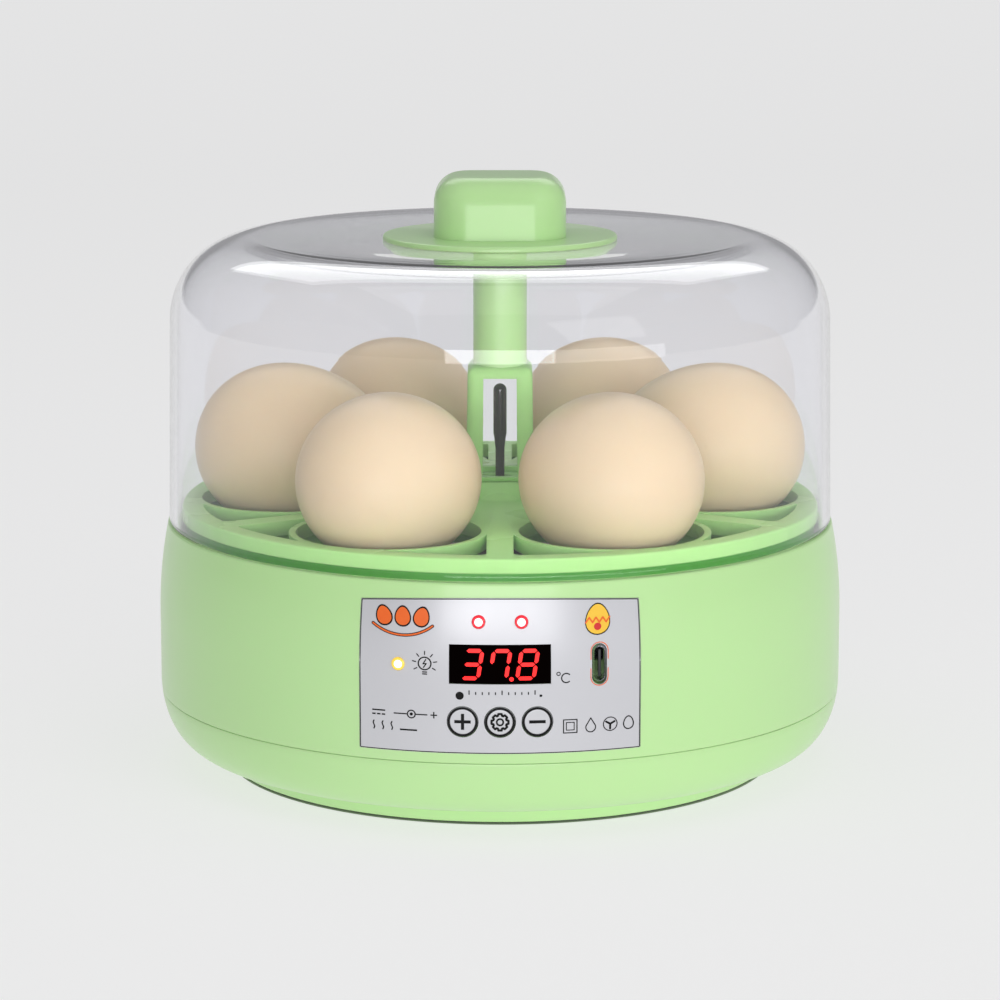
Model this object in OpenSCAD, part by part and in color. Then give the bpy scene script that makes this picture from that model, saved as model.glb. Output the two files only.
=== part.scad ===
// Egg incubator for six eggs: a round green base with a control panel, a lift-out egg tray
// with a sensor cage, and a clear dome with a knob. Millimetres, +Z up, front faces -Y,
// origin at the centre of the face that the rubber feet rest on.

/* [Base] */
// Largest radius of the base
base_r = 90; // [88:0.5:94]
// Radius of the base at its top lip
lip_r = 87.5; // [86.8:0.1:88]
// Height of the top lip
lip_z = 64.6; // [63.5:0.1:65]
// Height of the parting line between the upper and lower casing
seam_z = 20.1; // [18:0.1:21]
// Height where the wall turns from the bottom curve to straight
curve_z = 23; // [22:0.5:26]
// Radius where the bottom curve meets the foot
curve_r = 79.4; // [77:0.1:82]
// Height where the bottom curve meets the foot
curve_low_z = 5.6; // [5:0.1:7]
// Radius of the foot ring
foot_r = 72.6; // [68:0.1:74]
// Thickness of the casing walls
wall = 2.6; // [2:0.1:3]

/* [Dome] */
// Outer radius of the dome at its bottom edge
dome_r = 87.2; // [86.6:0.1:87.3]
// Outer radius of the dome where its wall meets the top curve
dome_top_r = 86.3; // [85:0.1:87]
// Radius of the curve between wall and top
dome_fillet = 21.5; // [16:0.5:26]
// Height of the dome's shoulder
dome_z = 139.2; // [130:0.1:150]
// Depth of the shallow dish under the knob flange
dish = 1.2; // [0.5:0.1:2]
// Thickness of the clear wall
dome_wall = 2; // [1.6:0.1:2.2]

/* [Knob] */
// Width of the knob
knob_w = 34.3; // [30:0.1:40]
// Depth of the knob
knob_d = 33.4; // [30:0.1:40]
// Height of the knob's flat top
knob_z = 155; // [152:0.1:160]
// Radius of the knob's upright corners
knob_corner = 8.5; // [8:0.1:12]
// Radius of the rounding around the knob's top
knob_round = 7; // [4:0.1:8]
// Radius of the flange under the knob
flange_r = 30.6; // [26:0.1:31]
// Thickness of the flange
flange_t = 1.4; // [1:0.1:2]
// Radius of the stem under the dome
stem_r = 7; // [6:0.1:7]

/* [Tray] */
// Radius of the egg tray
tray_r = 83.8; // [83:0.1:83.9]
// Height of the tray's top face
tray_z = 70; // [69:0.1:71]
// Thickness of the tray plate
tray_t = 3.7; // [3:0.1:4]
// Radius of an egg well
well_r = 23.2; // [22.8:0.1:23.4]
// Radius of the ring that the wells' centres lie on
well_ring = 55.8; // [55:0.1:56.5]
// Width of a spoke between two wells
spoke_w = 6.6; // [6:0.1:7]
// Outer limit of the cut-outs beside the spokes
cutout_r = 78.6; // [77:0.1:80]

/* [Eggs] */
// Half the length of an egg
egg_a = 26.4; // [25.5:0.1:26.6]
// Half the width of an egg
egg_b = 22; // [21:0.1:22.2]
// How much wider the blunt end is than the pointed end
egg_blunt = 0.07; // [0:0.01:0.1]
// Radius of the ring that the eggs' centres lie on
egg_ring = 54.3; // [54:0.1:55]
// Height of the eggs' centres
egg_z = 82.9; // [82.9:0.1:84]
// Rise of the blunt end, in degrees
egg_tilt = 6; // [4:0.5:8]

/* [Sensor cage] */
// Width of the cage at its foot
cage_w = 17.8; // [17:0.1:19]
// Width of the cage at its top as a share of its foot
cage_taper = 0.95; // [0.9:0.01:1]
// Height of the cage's top
cage_top_z = 105.2; // [104:0.1:106]
// Height of the hub that the cage stands on
hub_z = 74.9; // [74:0.1:76]
// Width of a cage window
window_w = 9.2; // [8:0.1:10]
// Height of the window's top edge
window_top_z = 102.4; // [100:0.1:102.6]
// Radius of the hole in the hub
hub_hole_r = 3.75; // [3.4:0.05:4]

/* [Panel] */
// Width of the control label
label_w = 68.8; // [66:0.1:70]
// Height of the label's bottom edge
label_low = 22.7; // [22.4:0.1:24]
// Height of the label's top edge
label_high = 61.3; // [60:0.1:61.5]
// Thickness of the label
label_t = 0.4; // [0.3:0.05:0.5]
// Width of the display window
display_w = 24.9; // [24:0.1:26]
// Height of the display window
display_h = 9.8; // [9:0.1:10]
// Height of the display's centre
display_z = 45.1; // [44:0.1:46]
// Height of the keys' centres
key_z = 30.8; // [30:0.1:31.5]
// Distance between two keys
key_gap = 9.1; // [8.9:0.1:9.6]
// Radius of a key
key_r = 3.7; // [3.4:0.1:3.8]
// Travel of a key
key_travel = 0.5; // [0.3:0.1:0.5]
// Sideways place of the power socket
usb_x = 24.2; // [23:0.1:25]
// Height of the power socket's centre
usb_z = 44.6; // [44:0.1:46]
// Sideways place of the lamp indicator
lamp_x = -24.8; // [-25:0.1:-24]
// Height of the two alarm indicators
alarm_z = 55.5; // [55:0.1:56]
// Sideways place of the alarm indicators
alarm_x = 5.2; // [5:0.1:6]

/* [Inside] */
// Height of the shelf that carries the inner pan
shelf_z = 44; // [43:0.1:45]
// Thickness of the inner pan
pan_t = 2; // [1.6:0.1:2.2]
// Depth of the water trough below the pan's deck
trough_d = 8; // [6:0.5:9]
// Width of the fan's frame
fan_w = 50; // [50:1:50]
// Thickness of the fan's frame
fan_h = 10; // [10:1:12]
// Radius of the heater's ring
heater_ring_r = 35.5; // [35.2:0.1:36]
// Radius of the heater's rod
heater_rod_r = 1.8; // [1.5:0.1:1.8]
// Radius of the temperature probe's thick end
probe_r = 1.75; // [1.5:0.05:2]
// Height of the probe's tip
probe_z = 99.9; // [96:0.1:101]

/* [Hidden] */

$fn = 96;
eps = 0.01;
big = 200;
green = [0.68, 0.88, 0.60];
dark = [0.12, 0.12, 0.13];
steel = [0.75, 0.76, 0.78];

// Base casing
straight_z = 41;             // above this the wall leans in towards the lip
foot_lift = 0.8;             // the rubber feet stand this far proud of the foot ring
pad_ring = foot_r - 8.5;     // ring that the rubber feet lie on
pad_r = 5.5;
floor_t = 2.4;
seam_gap = 0.3;
inner_r = 84.2;              // bore of the casing above the shelf
shelf_r = 81;
shelf_t = 2.6;
pocket_w = 72;               // pocket for the control board behind the panel
pocket_r = 86.4;
pocket_back = -74.6;
roof_z = 60;
roof_t = 1.6;
pocket_floor = 24;
pocket_wall = 2;             // end walls of the pocket

// Controls
board_y = -77.6;
board_t = 1.6;
board_w = 63;
board_low = 26;
board_high = 57.6;
board_screw_x = 28.6;
board_screw_low = 28.6;
board_screw_high = 54.6;
boss_r = 2.4;
led_r = 1.6;
led_gap = 0.1;
key_clear = 0.2;
key_flange_y = -84.9;        // front of the flange that holds a key behind the wall
key_flange_t = 0.9;
label_gap = 0.15;            // gap between the label and its recess
display_back = -84.4;        // where the display window meets its module
alarm_front = -88.6;         // front of the two alarm lamps
lamp_front = -86.2;          // front of the lamp indicator
key_flange_r = 4.4;
switch_h = 4.3;
switch_button = 0.8;         // how far a switch's button stands out of its body
usb_w = 3.5;
usb_h = 10;
usb_in_w = 2.6;
usb_in_h = 8.4;
usb_front = -86.5;
tongue_front = -85.6;
tongue_t = 0.7;
tongue_h = 6.7;

// Inner pan
pan_r = 83.9;
pan_front = -73.6;
pan_rim_t = 2;
trough_in = 46;
trough_out = 70;
duct_r = 23.5;
case_screw_ring = 40;
fan_hole = 20;               // the fan's screws lie this far to each side
fan_hub_r = 12;
fan_top = shelf_z;
fan_low = shelf_z - fan_h;
deck_z = shelf_z + pan_t;
grille_r = 31;
grille_t = 1.8;
probe_boss_r = 6;
probe_boss_z = deck_z + 6;
heater_z = deck_z + 2.6;
lead_r = 0.6;

// Tray and lid
skirt_low = roof_z + 0.3;
skirt_out = 83;
skirt_in = 81;
tray_low = tray_z - tray_t;
lid_gap = 0.25;              // gap between the lip and the dome
dome_low = lip_z + lid_gap;
dome_flat_z = dome_z - dish;
shoulder_r = dome_top_r - dome_fillet;
stem_low = cage_top_z - 0.7;
stem_solid = 6;
well_wall = 1.7;
cutout_round = 1.2;

// Outer radius of the wall at a height in its upper part, where it leans in to the lip
function upper_r(z) = z < straight_z ? base_r
    : base_r - (base_r - lip_r) * pow((z - straight_z) / (lip_z - straight_z), 2);

// Outer points of the bottom curve, from the foot up to the straight wall
function curve_point(a) = [curve_r + (base_r - curve_r) * sin(a),
                           curve_z - (curve_z - curve_low_z) * cos(a)];
// Angle on the bottom curve that lies at a height
function curve_angle(z) = acos((curve_z - z) / (curve_z - curve_low_z));
curve_steps = 8;
lean_steps = 6;

module ring(r_out, r_in, h) {
    difference() {
        cylinder(r = r_out, h = h);
        translate([0, 0, -1]) cylinder(r = r_in, h = h + 2);
    }
}

module around(count, first = 0) {
    for (k = [0:count - 1]) rotate([0, 0, first + 360 * k / count]) children();
}

// A block in front of the body that spans the panel's width and a stretch of height
module panel_block(w, low, high) {
    translate([-w / 2, -big / 2, low]) cube([w, big / 2, high - low]);
}

// A cylinder that lies along Y, from y0 to y1
module bar_y(x, z, r, y0, y1) {
    translate([x, y1, z]) rotate([90, 0, 0]) cylinder(r = r, h = y1 - y0);
}

// An upright slot with round ends, along Y
module slot_y(x, z, w, h, y0, y1) {
    for (s = [-1, 1]) bar_y(x, z + s * (h - w) / 2, w / 2, y0, y1);
    translate([x - w / 2, y0, z - (h - w) / 2]) cube([w, y1 - y0, h - w]);
}

// Outer points of the wall where it leans in, from the straight part up to the lip
lean_points = [for (k = [0:lean_steps]) for (z = [straight_z + (lip_z - straight_z) * k / lean_steps])
    [upper_r(z), z]];

// The outer skin of the upper casing as a solid of revolution, drawn in by d
module upper_skin(d) {
    rotate_extrude($fn = 180) polygon(concat(
        [[0, 20], [base_r - d, 20]],
        [for (p = lean_points) [p[0] - d, p[1]]],
        [[0, lip_z]]));
}

module panel_holes(grow = 0) {
    translate([-display_w / 2 - grow, -big / 2, display_z - display_h / 2 - grow])
        cube([display_w + 2 * grow, big / 2 - 70, display_h + 2 * grow]);
    for (s = [-1, 1]) bar_y(s * alarm_x, alarm_z, led_r + led_gap, -big / 2, -80);
    bar_y(lamp_x, usb_z, led_r + led_gap, -big / 2, -78);
    for (s = [-1, 0, 1]) bar_y(s * key_gap, key_z, key_r + key_clear, -big / 2, -82);
    slot_y(usb_x, usb_z, usb_w + 0.3, usb_h + 0.3, -big / 2, -79);
}

module base_shell() {
    low = seam_z + seam_gap;
    color(green) difference() {
        union() {
            rotate_extrude($fn = 180) polygon(concat(
                [for (k = [0:1]) for (a = [curve_angle(low) + (90 - curve_angle(low)) * k]) curve_point(a)],
                lean_points,
                [[inner_r, lip_z], [inner_r, shelf_z], [shelf_r, shelf_z], [shelf_r, shelf_z - shelf_t],
                 [base_r - wall, shelf_z - shelf_t - 4], [base_r - wall, low]]));
            // Roof and end walls of the pocket that holds the control board
            intersection() {
                cylinder(r = base_r - wall + eps, h = big);
                difference() {
                    panel_block(pocket_w, pocket_floor, roof_z);
                    translate([-big / 2, pocket_back, 0]) cube([big, big, big]);
                }
            }
        }
        // Pocket
        difference() {
            intersection() {
                cylinder(r = pocket_r, h = big);
                panel_block(pocket_w - 2 * pocket_wall, pocket_floor - 1, roof_z - roof_t);
            }
            for (x = [-1, 1], z = [board_screw_low, board_screw_high])
                bar_y(x * board_screw_x, z, boss_r, -pocket_r, board_y);
        }
        // Shelf is cut away where the pan has its flat front
        translate([-pocket_w / 2 + pocket_wall, -shelf_r - 2, shelf_z - shelf_t - 5])
            cube([pocket_w - 2 * pocket_wall, 12, 12]);
        // Recess for the label
        difference() {
            panel_block(label_w + 2 * label_gap, label_low - label_gap, label_high + label_gap);
            upper_skin(label_t + 0.1);
        }
        panel_holes();
        for (x = [-1, 1], z = [board_screw_low, board_screw_high])
            bar_y(x * board_screw_x, z, 0.9, board_y - 3, board_y + 1);
    }
}

module bottom_shell() {
    top_in = base_r - wall;
    color(green) difference() {
        union() {
            rotate_extrude($fn = 180) polygon(concat(
                [[foot_r - 5, foot_lift], [foot_r - 0.6, foot_lift], [foot_r, foot_lift + 0.6],
                 [foot_r + 0.9, curve_low_z]],
                [for (k = [0:curve_steps]) curve_point(curve_angle(seam_z) * k / curve_steps)],
                [[curve_point(curve_angle(seam_z))[0] - wall, seam_z], [top_in - 5.5, 13],
                 [top_in - 11, curve_low_z + floor_t], [0, curve_low_z + floor_t],
                 [0, curve_low_z], [foot_r - 5, curve_low_z]]));
            // Inner lip that locates the upper casing
            translate([0, 0, 12]) ring(top_in - 0.3, top_in - 3.6, seam_z + 2 - 12);
            around(4) translate([case_screw_ring, 0, curve_low_z]) cylinder(r = 4.4, h = 8);
            // Rubber feet sit on four thick pads of the foot ring
            around(4, 45) translate([pad_ring, 0, foot_lift]) cylinder(r = pad_r + 1.9, h = 6);
        }
        // Clearance for the panel pocket behind the label
        panel_block(pocket_w + 2, seam_z, 40);
        around(4) translate([case_screw_ring, 0, 0]) {
            cylinder(r = 1.7, h = 30);
            cylinder(r = 3.3, h = curve_low_z + 3);
        }
        around(4, 45) translate([pad_ring, 0, -1]) cylinder(r = pad_r + 0.1, h = 1 + foot_lift + 1.2);
        // Air inlets under the fan
        around(12) translate([12, -1.3, 0]) cube([14, 2.6, 20]);
    }
}

module rubber_feet() {
    color(dark) around(4, 45) translate([pad_ring, 0, 0]) {
        cylinder(r1 = pad_r - 0.6, r2 = pad_r, h = 0.6);
        translate([0, 0, 0.6]) cylinder(r = pad_r, h = foot_lift + 0.6);
    }
}

module pan_screw(head_r, head_h, shank_r, length) {
    difference() {
        union() {
            cylinder(r = head_r, h = head_h);
            cylinder(r = shank_r, h = length);
        }
        for (a = [0, 90]) rotate([0, 0, a])
            translate([-head_r * 0.6, -0.35, -eps]) cube([head_r * 1.2, 0.7, head_h * 0.5]);
    }
}

module case_screws() {
    color(steel) around(4) translate([case_screw_ring, 0, curve_low_z + 0.9]) pan_screw(3, 2, 1.5, 16);
}

module inner_pan() {
    trough_z = shelf_z - trough_d;
    color(green) difference() {
        union() {
            // Deck, rim and water trough in one moulding
            intersection() {
                rotate_extrude($fn = 180) polygon([
                    [duct_r, shelf_z], [trough_in - pan_t, shelf_z], [trough_in - pan_t, trough_z],
                    [trough_out + pan_t, trough_z], [trough_out + pan_t, shelf_z], [pan_r, shelf_z],
                    [pan_r, roof_z], [pan_r - pan_rim_t, roof_z], [pan_r - pan_rim_t, deck_z],
                    [trough_out, deck_z], [trough_out, trough_z + pan_t], [trough_in, trough_z + pan_t],
                    [trough_in, deck_z], [duct_r, deck_z]]);
                translate([-big / 2, pan_front, 0]) cube([big, big, big]);
            }
            // Flat front wall, clear of the control board
            intersection() {
                translate([-big / 2, pan_front, shelf_z]) cube([big, pan_rim_t, roof_z - shelf_z]);
                cylinder(r = pan_r, h = big);
            }
            // Ribs that split the trough into channels
            around(3, 90) translate([trough_in - eps, -1, trough_z + eps])
                cube([trough_out - trough_in + 2 * eps, 2, trough_d + pan_t - 2]);
            // Posts for the casing screws
            around(4) translate([case_screw_ring, 0, curve_low_z + 8.3])
                cylinder(r = 3.4, h = shelf_z + 1 - curve_low_z - 8.3);
        }
        around(4) translate([case_screw_ring, 0, 0]) cylinder(r = 1.55, h = 26);
        around(4, 45) translate([fan_hole * sqrt(2), 0, shelf_z - 1]) cylinder(r = 1.6, h = pan_t + 2);
        // Passages for the leads
        translate([0, -32.3, shelf_z - 1]) cylinder(r = lead_r + 0.2, h = 5);
        for (a = [-117, -123]) rotate([0, 0, a])
            translate([heater_ring_r, 0, shelf_z - 1]) cylinder(r = lead_r + 0.2, h = 5);
    }
}

module heater_ring() {
    color([0.45, 0.42, 0.40]) difference() {
        translate([0, 0, heater_z]) rotate_extrude($fn = 120) translate([heater_ring_r, 0])
            circle(r = heater_rod_r, $fn = 32);
        // The ring is open between its two terminals
        rotate([0, 0, -120]) translate([heater_ring_r - 5, -1.2, heater_z - 5]) cube([10, 2.4, 10]);
    }
}

module heater_clips() {
    color([0.93, 0.92, 0.88]) around(4, 45) translate([heater_ring_r, 0, deck_z]) difference() {
        translate([-3.2, -1.5, 0]) cube([6.4, 3, heater_z - deck_z + 1.4]);
        translate([0, 2, heater_z - deck_z]) rotate([90, 0, 0]) cylinder(r = heater_rod_r + 0.15, h = 4);
    }
}

module fan_frame() {
    color(dark) {
        difference() {
            translate([-fan_w / 2, -fan_w / 2, fan_low]) cube([fan_w, fan_w, fan_h]);
            translate([0, 0, fan_low - 1]) cylinder(r = duct_r, h = fan_h + 2);
            around(4, 45) translate([fan_hole * sqrt(2), 0, fan_low - 1]) cylinder(r = 1.7, h = fan_h + 2);
        }
        difference() {
            union() {
                translate([0, 0, fan_low]) cylinder(r = fan_hub_r, h = 1.4);
                translate([0, 0, fan_low]) cylinder(r = 3.2, h = 6.4);
                around(4, 20) translate([fan_hub_r - 1, -1, fan_low])
                    cube([duct_r - fan_hub_r + 1.5, 2, 1.4]);
            }
            translate([0, 0, fan_low + 0.8]) cylinder(r = 1.04, h = 8);
        }
    }
}

module fan_rotor() {
    rotor_low = fan_low + 2;
    rotor_top = fan_top - 0.6;
    color([0.16, 0.16, 0.17]) intersection() {
        union() {
            difference() {
                translate([0, 0, rotor_low]) cylinder(r = fan_hub_r, h = rotor_top - rotor_low);
                translate([0, 0, rotor_low - 1])
                    cylinder(r = fan_hub_r - 1.4, h = rotor_top - rotor_low - 0.4);
            }
            translate([0, 0, fan_low + 1.2]) cylinder(r = 1, h = rotor_top - fan_low - 1.8);
            around(7) translate([fan_hub_r - 0.4, 0, (rotor_low + rotor_top) / 2]) rotate([38, 0, 0])
                translate([0, -5, -0.6]) cube([12, 10, 1.2]);
        }
        translate([0, 0, rotor_low - 0.9]) cylinder(r = duct_r - 0.7, h = rotor_top - rotor_low + 0.9);
    }
}

module fan_grille() {
    color(green) translate([0, 0, deck_z]) difference() {
        union() {
            ring(grille_r, duct_r - 0.5, grille_t);
            for (r = [12, 16, 20]) ring(r, r - 1.4, grille_t);
            around(6, 30) translate([probe_boss_r - 1, -0.9, 0])
                cube([duct_r - probe_boss_r + 2, 1.8, grille_t]);
            cylinder(r = probe_boss_r, h = probe_boss_z - deck_z);
        }
        translate([0, 0, 0.9]) cylinder(r = 2.6, h = 20);
        around(4, 45) translate([fan_hole * sqrt(2), 0, -1]) cylinder(r = 1.6, h = 5);
        // Slot in the boss for the probe's lead
        translate([-0.75, -8, 2.2]) cube([1.5, 8, 5]);
    }
}

module fan_screws() {
    color(steel) around(4, 45) translate([fan_hole * sqrt(2), 0, deck_z + grille_t + 1.6])
        mirror([0, 0, 1]) pan_screw(2.6, 1.6, 1.5, fan_h + pan_t + grille_t + 1.6);
}

module control_board() {
    color([0.10, 0.36, 0.20]) difference() {
        translate([-board_w / 2, board_y, board_low]) cube([board_w, board_t, board_high - board_low]);
        for (x = [-1, 1], z = [board_screw_low, board_screw_high])
            bar_y(x * board_screw_x, z, 1.3, board_y - 1, board_y + 4);
    }
}

module board_screws() {
    color(steel) for (x = [-1, 1], z = [board_screw_low, board_screw_high])
        translate([x * board_screw_x, board_y + board_t + 1.2, z]) rotate([90, 0, 0])
            pan_screw(2, 1.2, 0.85, 5);
}

module board_chips() {
    color(dark) {
        translate([-7, board_y + board_t, 34]) cube([7, 1, 7]);
        translate([8, board_y + board_t, 35]) cube([4, 1, 5]);
        translate([14, board_y + board_t, 46]) cube([6, 1.2, 6]);
    }
}

module alarm_sounder() {
    color(dark) difference() {
        bar_y(-18, 34.5, 4.5, board_y - 4, board_y);
        bar_y(-18, 34.5, 0.8, board_y - 5, board_y - 3);
    }
}

module display_module() {
    color([0.9, 0.9, 0.88]) translate([-display_w / 2 - 1, display_back, display_z - display_h / 2 - 1.6])
        cube([display_w + 2, board_y - display_back, display_h + 3.2]);
}

module display_window() {
    gap = 0.1;
    color([0.05, 0.02, 0.02]) intersection() {
        upper_skin(0.15);
        translate([-display_w / 2 + gap, -92, display_z - display_h / 2 + gap])
            cube([display_w - 2 * gap, 92 + display_back, display_h - 2 * gap]);
    }
}

module tact_switches() {
    body = 5.2;
    for (k = [-1, 0, 1]) {
        color(steel) translate([k * key_gap - body / 2, board_y - switch_h + 1.8, key_z - body / 2])
            cube([body, switch_h - 1.8, body]);
        color(dark)
            bar_y(k * key_gap, key_z, 1.6, board_y - switch_h - switch_button, board_y - switch_h + 1.8);
    }
}

module led(x, z, front) {
    bar_y(x, z, led_r, front, board_y);
    bar_y(x, z, led_r + 0.4, board_y - 3.4, board_y);
}

module alarm_lamps() {
    color([0.85, 0.05, 0.08]) for (s = [-1, 1]) led(s * alarm_x, alarm_z, alarm_front);
}

module lamp_indicator() {
    color([0.95, 0.75, 0.2]) led(lamp_x, usb_z, lamp_front);
}

module usb_socket() {
    color(steel) difference() {
        slot_y(usb_x, usb_z, usb_w, usb_h, usb_front, board_y);
        slot_y(usb_x, usb_z, usb_in_w, usb_in_h, usb_front - 1, board_y - 1);
    }
}

module usb_tongue() {
    color(dark) translate([usb_x - tongue_t / 2, tongue_front, usb_z - tongue_h / 2])
        cube([tongue_t, board_y - 1 - tongue_front, tongue_h]);
}

module control_label() {
    color([0.80, 0.80, 0.82]) difference() {
        intersection() {
            difference() {
                upper_skin(0);
                upper_skin(label_t);
            }
            panel_block(label_w, label_low, label_high);
        }
        panel_holes();
    }
}

module temperature_probe() {
    neck_r = 1.2;
    color(dark) rotate_extrude($fn = 48) polygon(concat(
        [[0, probe_boss_z - 4.4], [2.2, probe_boss_z - 4.4], [2.2, probe_boss_z - 0.6],
         [neck_r, probe_boss_z + 0.4], [neck_r, probe_z - 17.1], [probe_r, probe_z - 13.3]],
        [for (a = [0:15:90]) [probe_r * cos(a), probe_z - probe_r * (1 - sin(a))]]));
}

module probe_grommet() {
    color([0.2, 0.2, 0.2]) translate([0, 0, probe_boss_z - 4.4]) difference() {
        ring(2.58, 2.2, 3.4);
        translate([-0.75, -8, -1]) cube([1.5, 8, 5]);
    }
}

// A lead of round section through a list of points
module lead(points, r) {
    for (k = [0:len(points) - 2]) {
        d = points[k + 1] - points[k];
        translate(points[k]) rotate([0, acos(d[2] / norm(d)), atan2(d[1], d[0])])
            cylinder(r = r, h = norm(d), $fn = 16);
        if (k > 0) translate(points[k]) sphere(r = r * 1.08, $fn = 16);
    }
}

module probe_lead() {
    low = deck_z + 3;
    color(dark) lead([[0, -2.2, low], [0, -32.3, low], [0, -32.3, 41], [6, -34, 38], [6, -41, 33.5],
                      [6, -60, 31], [6, board_y + board_t, 31]], lead_r);
}

module fan_lead() {
    color([0.7, 0.1, 0.1])
        lead([[-12, -25, 36], [-12, -36, 32], [-12, -60, 29], [-12, board_y + board_t, 29]], lead_r);
}

module heater_leads() {
    color([0.85, 0.85, 0.85]) for (a = [-117, -123]) {
        foot = [heater_ring_r * cos(a), heater_ring_r * sin(a)];
        lead([[foot[0], foot[1], heater_z - 1.2], [foot[0], foot[1], 33], [foot[0] - 3, -50, 31.5],
              [foot[0] - 3, board_y + board_t, 31.5]], lead_r);
    }
}

module key(k) {
    plunger_end = board_y - switch_h - switch_button - key_travel - 0.1;
    color([0.80, 0.80, 0.82]) union() {
        intersection() {
            bar_y(k * key_gap, key_z, key_r, -92, key_flange_y + 0.5);
            cylinder(r = base_r - 0.02, h = big, $fn = 180);
        }
        bar_y(k * key_gap, key_z, key_flange_r, key_flange_y, key_flange_y + key_flange_t);
        bar_y(k * key_gap, key_z, 1.8, key_flange_y, plunger_end);
    }
}

module key_plus() { key(-1); }
module key_set() { key(0); }
module key_minus() { key(1); }

// One cut-out beside a spoke, in the plane of the tray
module cutout_outline() {
    offset(r = cutout_round, $fn = 24) offset(delta = -cutout_round) difference() {
        intersection() {
            circle(r = cutout_r, $fn = 180);
            polygon([[spoke_w / 2, 0], [spoke_w / 2, -big / 2], [60, -big / 2], [44, -62], [26, -40]]);
        }
        rotate([0, 0, 30]) translate([0, -well_ring]) circle(r = well_r + well_wall, $fn = 96);
        circle(r = 45);
    }
}

module egg_tray() {
    pedestal_r = 9.4;
    color(green) difference() {
        union() {
            translate([0, 0, tray_low]) cylinder(r = tray_r, h = tray_t, $fn = 180);
            translate([0, 0, skirt_low]) ring(skirt_out, skirt_in, tray_low - skirt_low + 1);
            translate([0, 0, tray_z]) cylinder(r1 = pedestal_r, r2 = pedestal_r - 1.2, h = 2);
            translate([-cage_w / 2 + 0.8, -cage_w / 2 + 0.8, tray_z])
                cube([cage_w - 1.6, cage_w - 1.6, hub_z - tray_z]);
        }
        around(6, 30) translate([0, -well_ring, tray_low - 1]) cylinder(r = well_r, h = tray_t + 2);
        around(6) for (m = [0, 1]) mirror([m, 0, 0])
            translate([0, 0, tray_low - 1]) linear_extrude(tray_t + 2) cutout_outline();
        translate([0, 0, tray_low - 1]) cylinder(r = hub_hole_r, h = big);
    }
}

// Square with cut corners, in the plane of the cage
module cage_outline(w, cut) {
    h = w / 2;
    polygon([[h - cut, -h], [h, -h + cut], [h, h - cut], [h - cut, h], [-h + cut, h], [-h, h - cut],
             [-h, -h + cut], [-h + cut, -h]]);
}

module sensor_cage() {
    height = cage_top_z - hub_z;
    leg = 1.8;
    color(green) translate([0, 0, hub_z]) difference() {
        linear_extrude(height, scale = cage_taper) cage_outline(cage_w, 2);
        translate([0, 0, -1]) linear_extrude(window_top_z - hub_z + 1, scale = cage_taper)
            cage_outline(cage_w - 2 * leg, 1.4);
        for (a = [0, 90]) rotate([0, 0, a]) translate([-window_w / 2, -cage_w, 1.5])
            cube([window_w, 2 * cage_w, window_top_z - hub_z - 1.5]);
        translate([0, 0, height - 1]) cylinder(r = stem_r + 0.4, h = 3);
    }
}

module dome_cover() {
    fillet_z = dome_z - dome_fillet;
    low_in = dome_r - dome_wall;
    inner_fillet = dome_fillet - dome_wall;
    flange_land = flange_r + 1.4;
    color([0.9, 0.92, 0.95, 0.35]) rotate_extrude($fn = 180) polygon(concat(
        [[dome_r - 0.5, dome_low], [dome_r, dome_low + 0.5]],
        [for (a = [0:6:90]) [shoulder_r + dome_fillet * cos(a), fillet_z + dome_fillet * sin(a)]],
        [[flange_land, dome_flat_z], [2.3, dome_flat_z], [2.3, dome_flat_z - dome_wall],
         [flange_land, dome_flat_z - dome_wall]],
        [for (a = [90:-6:0]) [shoulder_r + inner_fillet * cos(a), fillet_z + inner_fillet * sin(a)]],
        [[low_in, dome_low]]));
}

module lid_knob() {
    low = dome_flat_z + flange_t;
    x = knob_w / 2 - knob_corner;
    y = knob_d / 2 - knob_corner;
    color(green) difference() {
        hull() for (sx = [-1, 1], sy = [-1, 1]) translate([sx * x, sy * y, low]) {
            cylinder(r = knob_corner, h = 1, $fn = 32);
            translate([0, 0, knob_z - low - knob_round]) rotate_extrude($fn = 32) intersection() {
                translate([knob_corner - knob_round, 0]) circle(r = knob_round, $fn = 32);
                square([knob_corner, knob_round]);
            }
        }
        translate([0, 0, low - 1]) cylinder(r = 2.05, h = 11);
    }
}

module knob_flange() {
    color(green) translate([0, 0, dome_flat_z]) difference() {
        union() {
            cylinder(r = flange_r, h = flange_t - 0.5, $fn = 120);
            translate([0, 0, flange_t - 0.5])
                cylinder(r1 = flange_r, r2 = flange_r - 0.6, h = 0.5, $fn = 120);
        }
        translate([0, 0, -1]) cylinder(r = 2.3, h = 5);
    }
}

module stem_tube() {
    top = dome_flat_z - dome_wall;
    color(green) difference() {
        translate([0, 0, stem_low]) cylinder(r = stem_r, h = top - stem_low);
        translate([0, 0, stem_low - 1]) cylinder(r = 5, h = top - stem_low - stem_solid + 1);
        translate([0, 0, stem_low]) cylinder(r = 2.3, h = top);
    }
}

module stem_screw() {
    top = dome_flat_z - dome_wall - stem_solid;
    color(steel) translate([0, 0, top - 2.8]) pan_screw(4, 2.8, 2, 20);
}

// Egg outline, blunt end up, from pole to pole
function egg_point(a) = [egg_b * sin(a) * (1 + egg_blunt * cos(a)), egg_a * cos(a)];

// An egg that lies with its blunt end outwards, at an angle from the front
module egg(angle) {
    color([0.90, 0.78, 0.64]) rotate([0, 0, angle]) translate([0, -egg_ring, egg_z])
        rotate([90 - egg_tilt, 0, 0]) rotate_extrude($fn = 96)
            polygon([for (a = [0:7.5:180]) egg_point(a)]);
}

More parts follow.
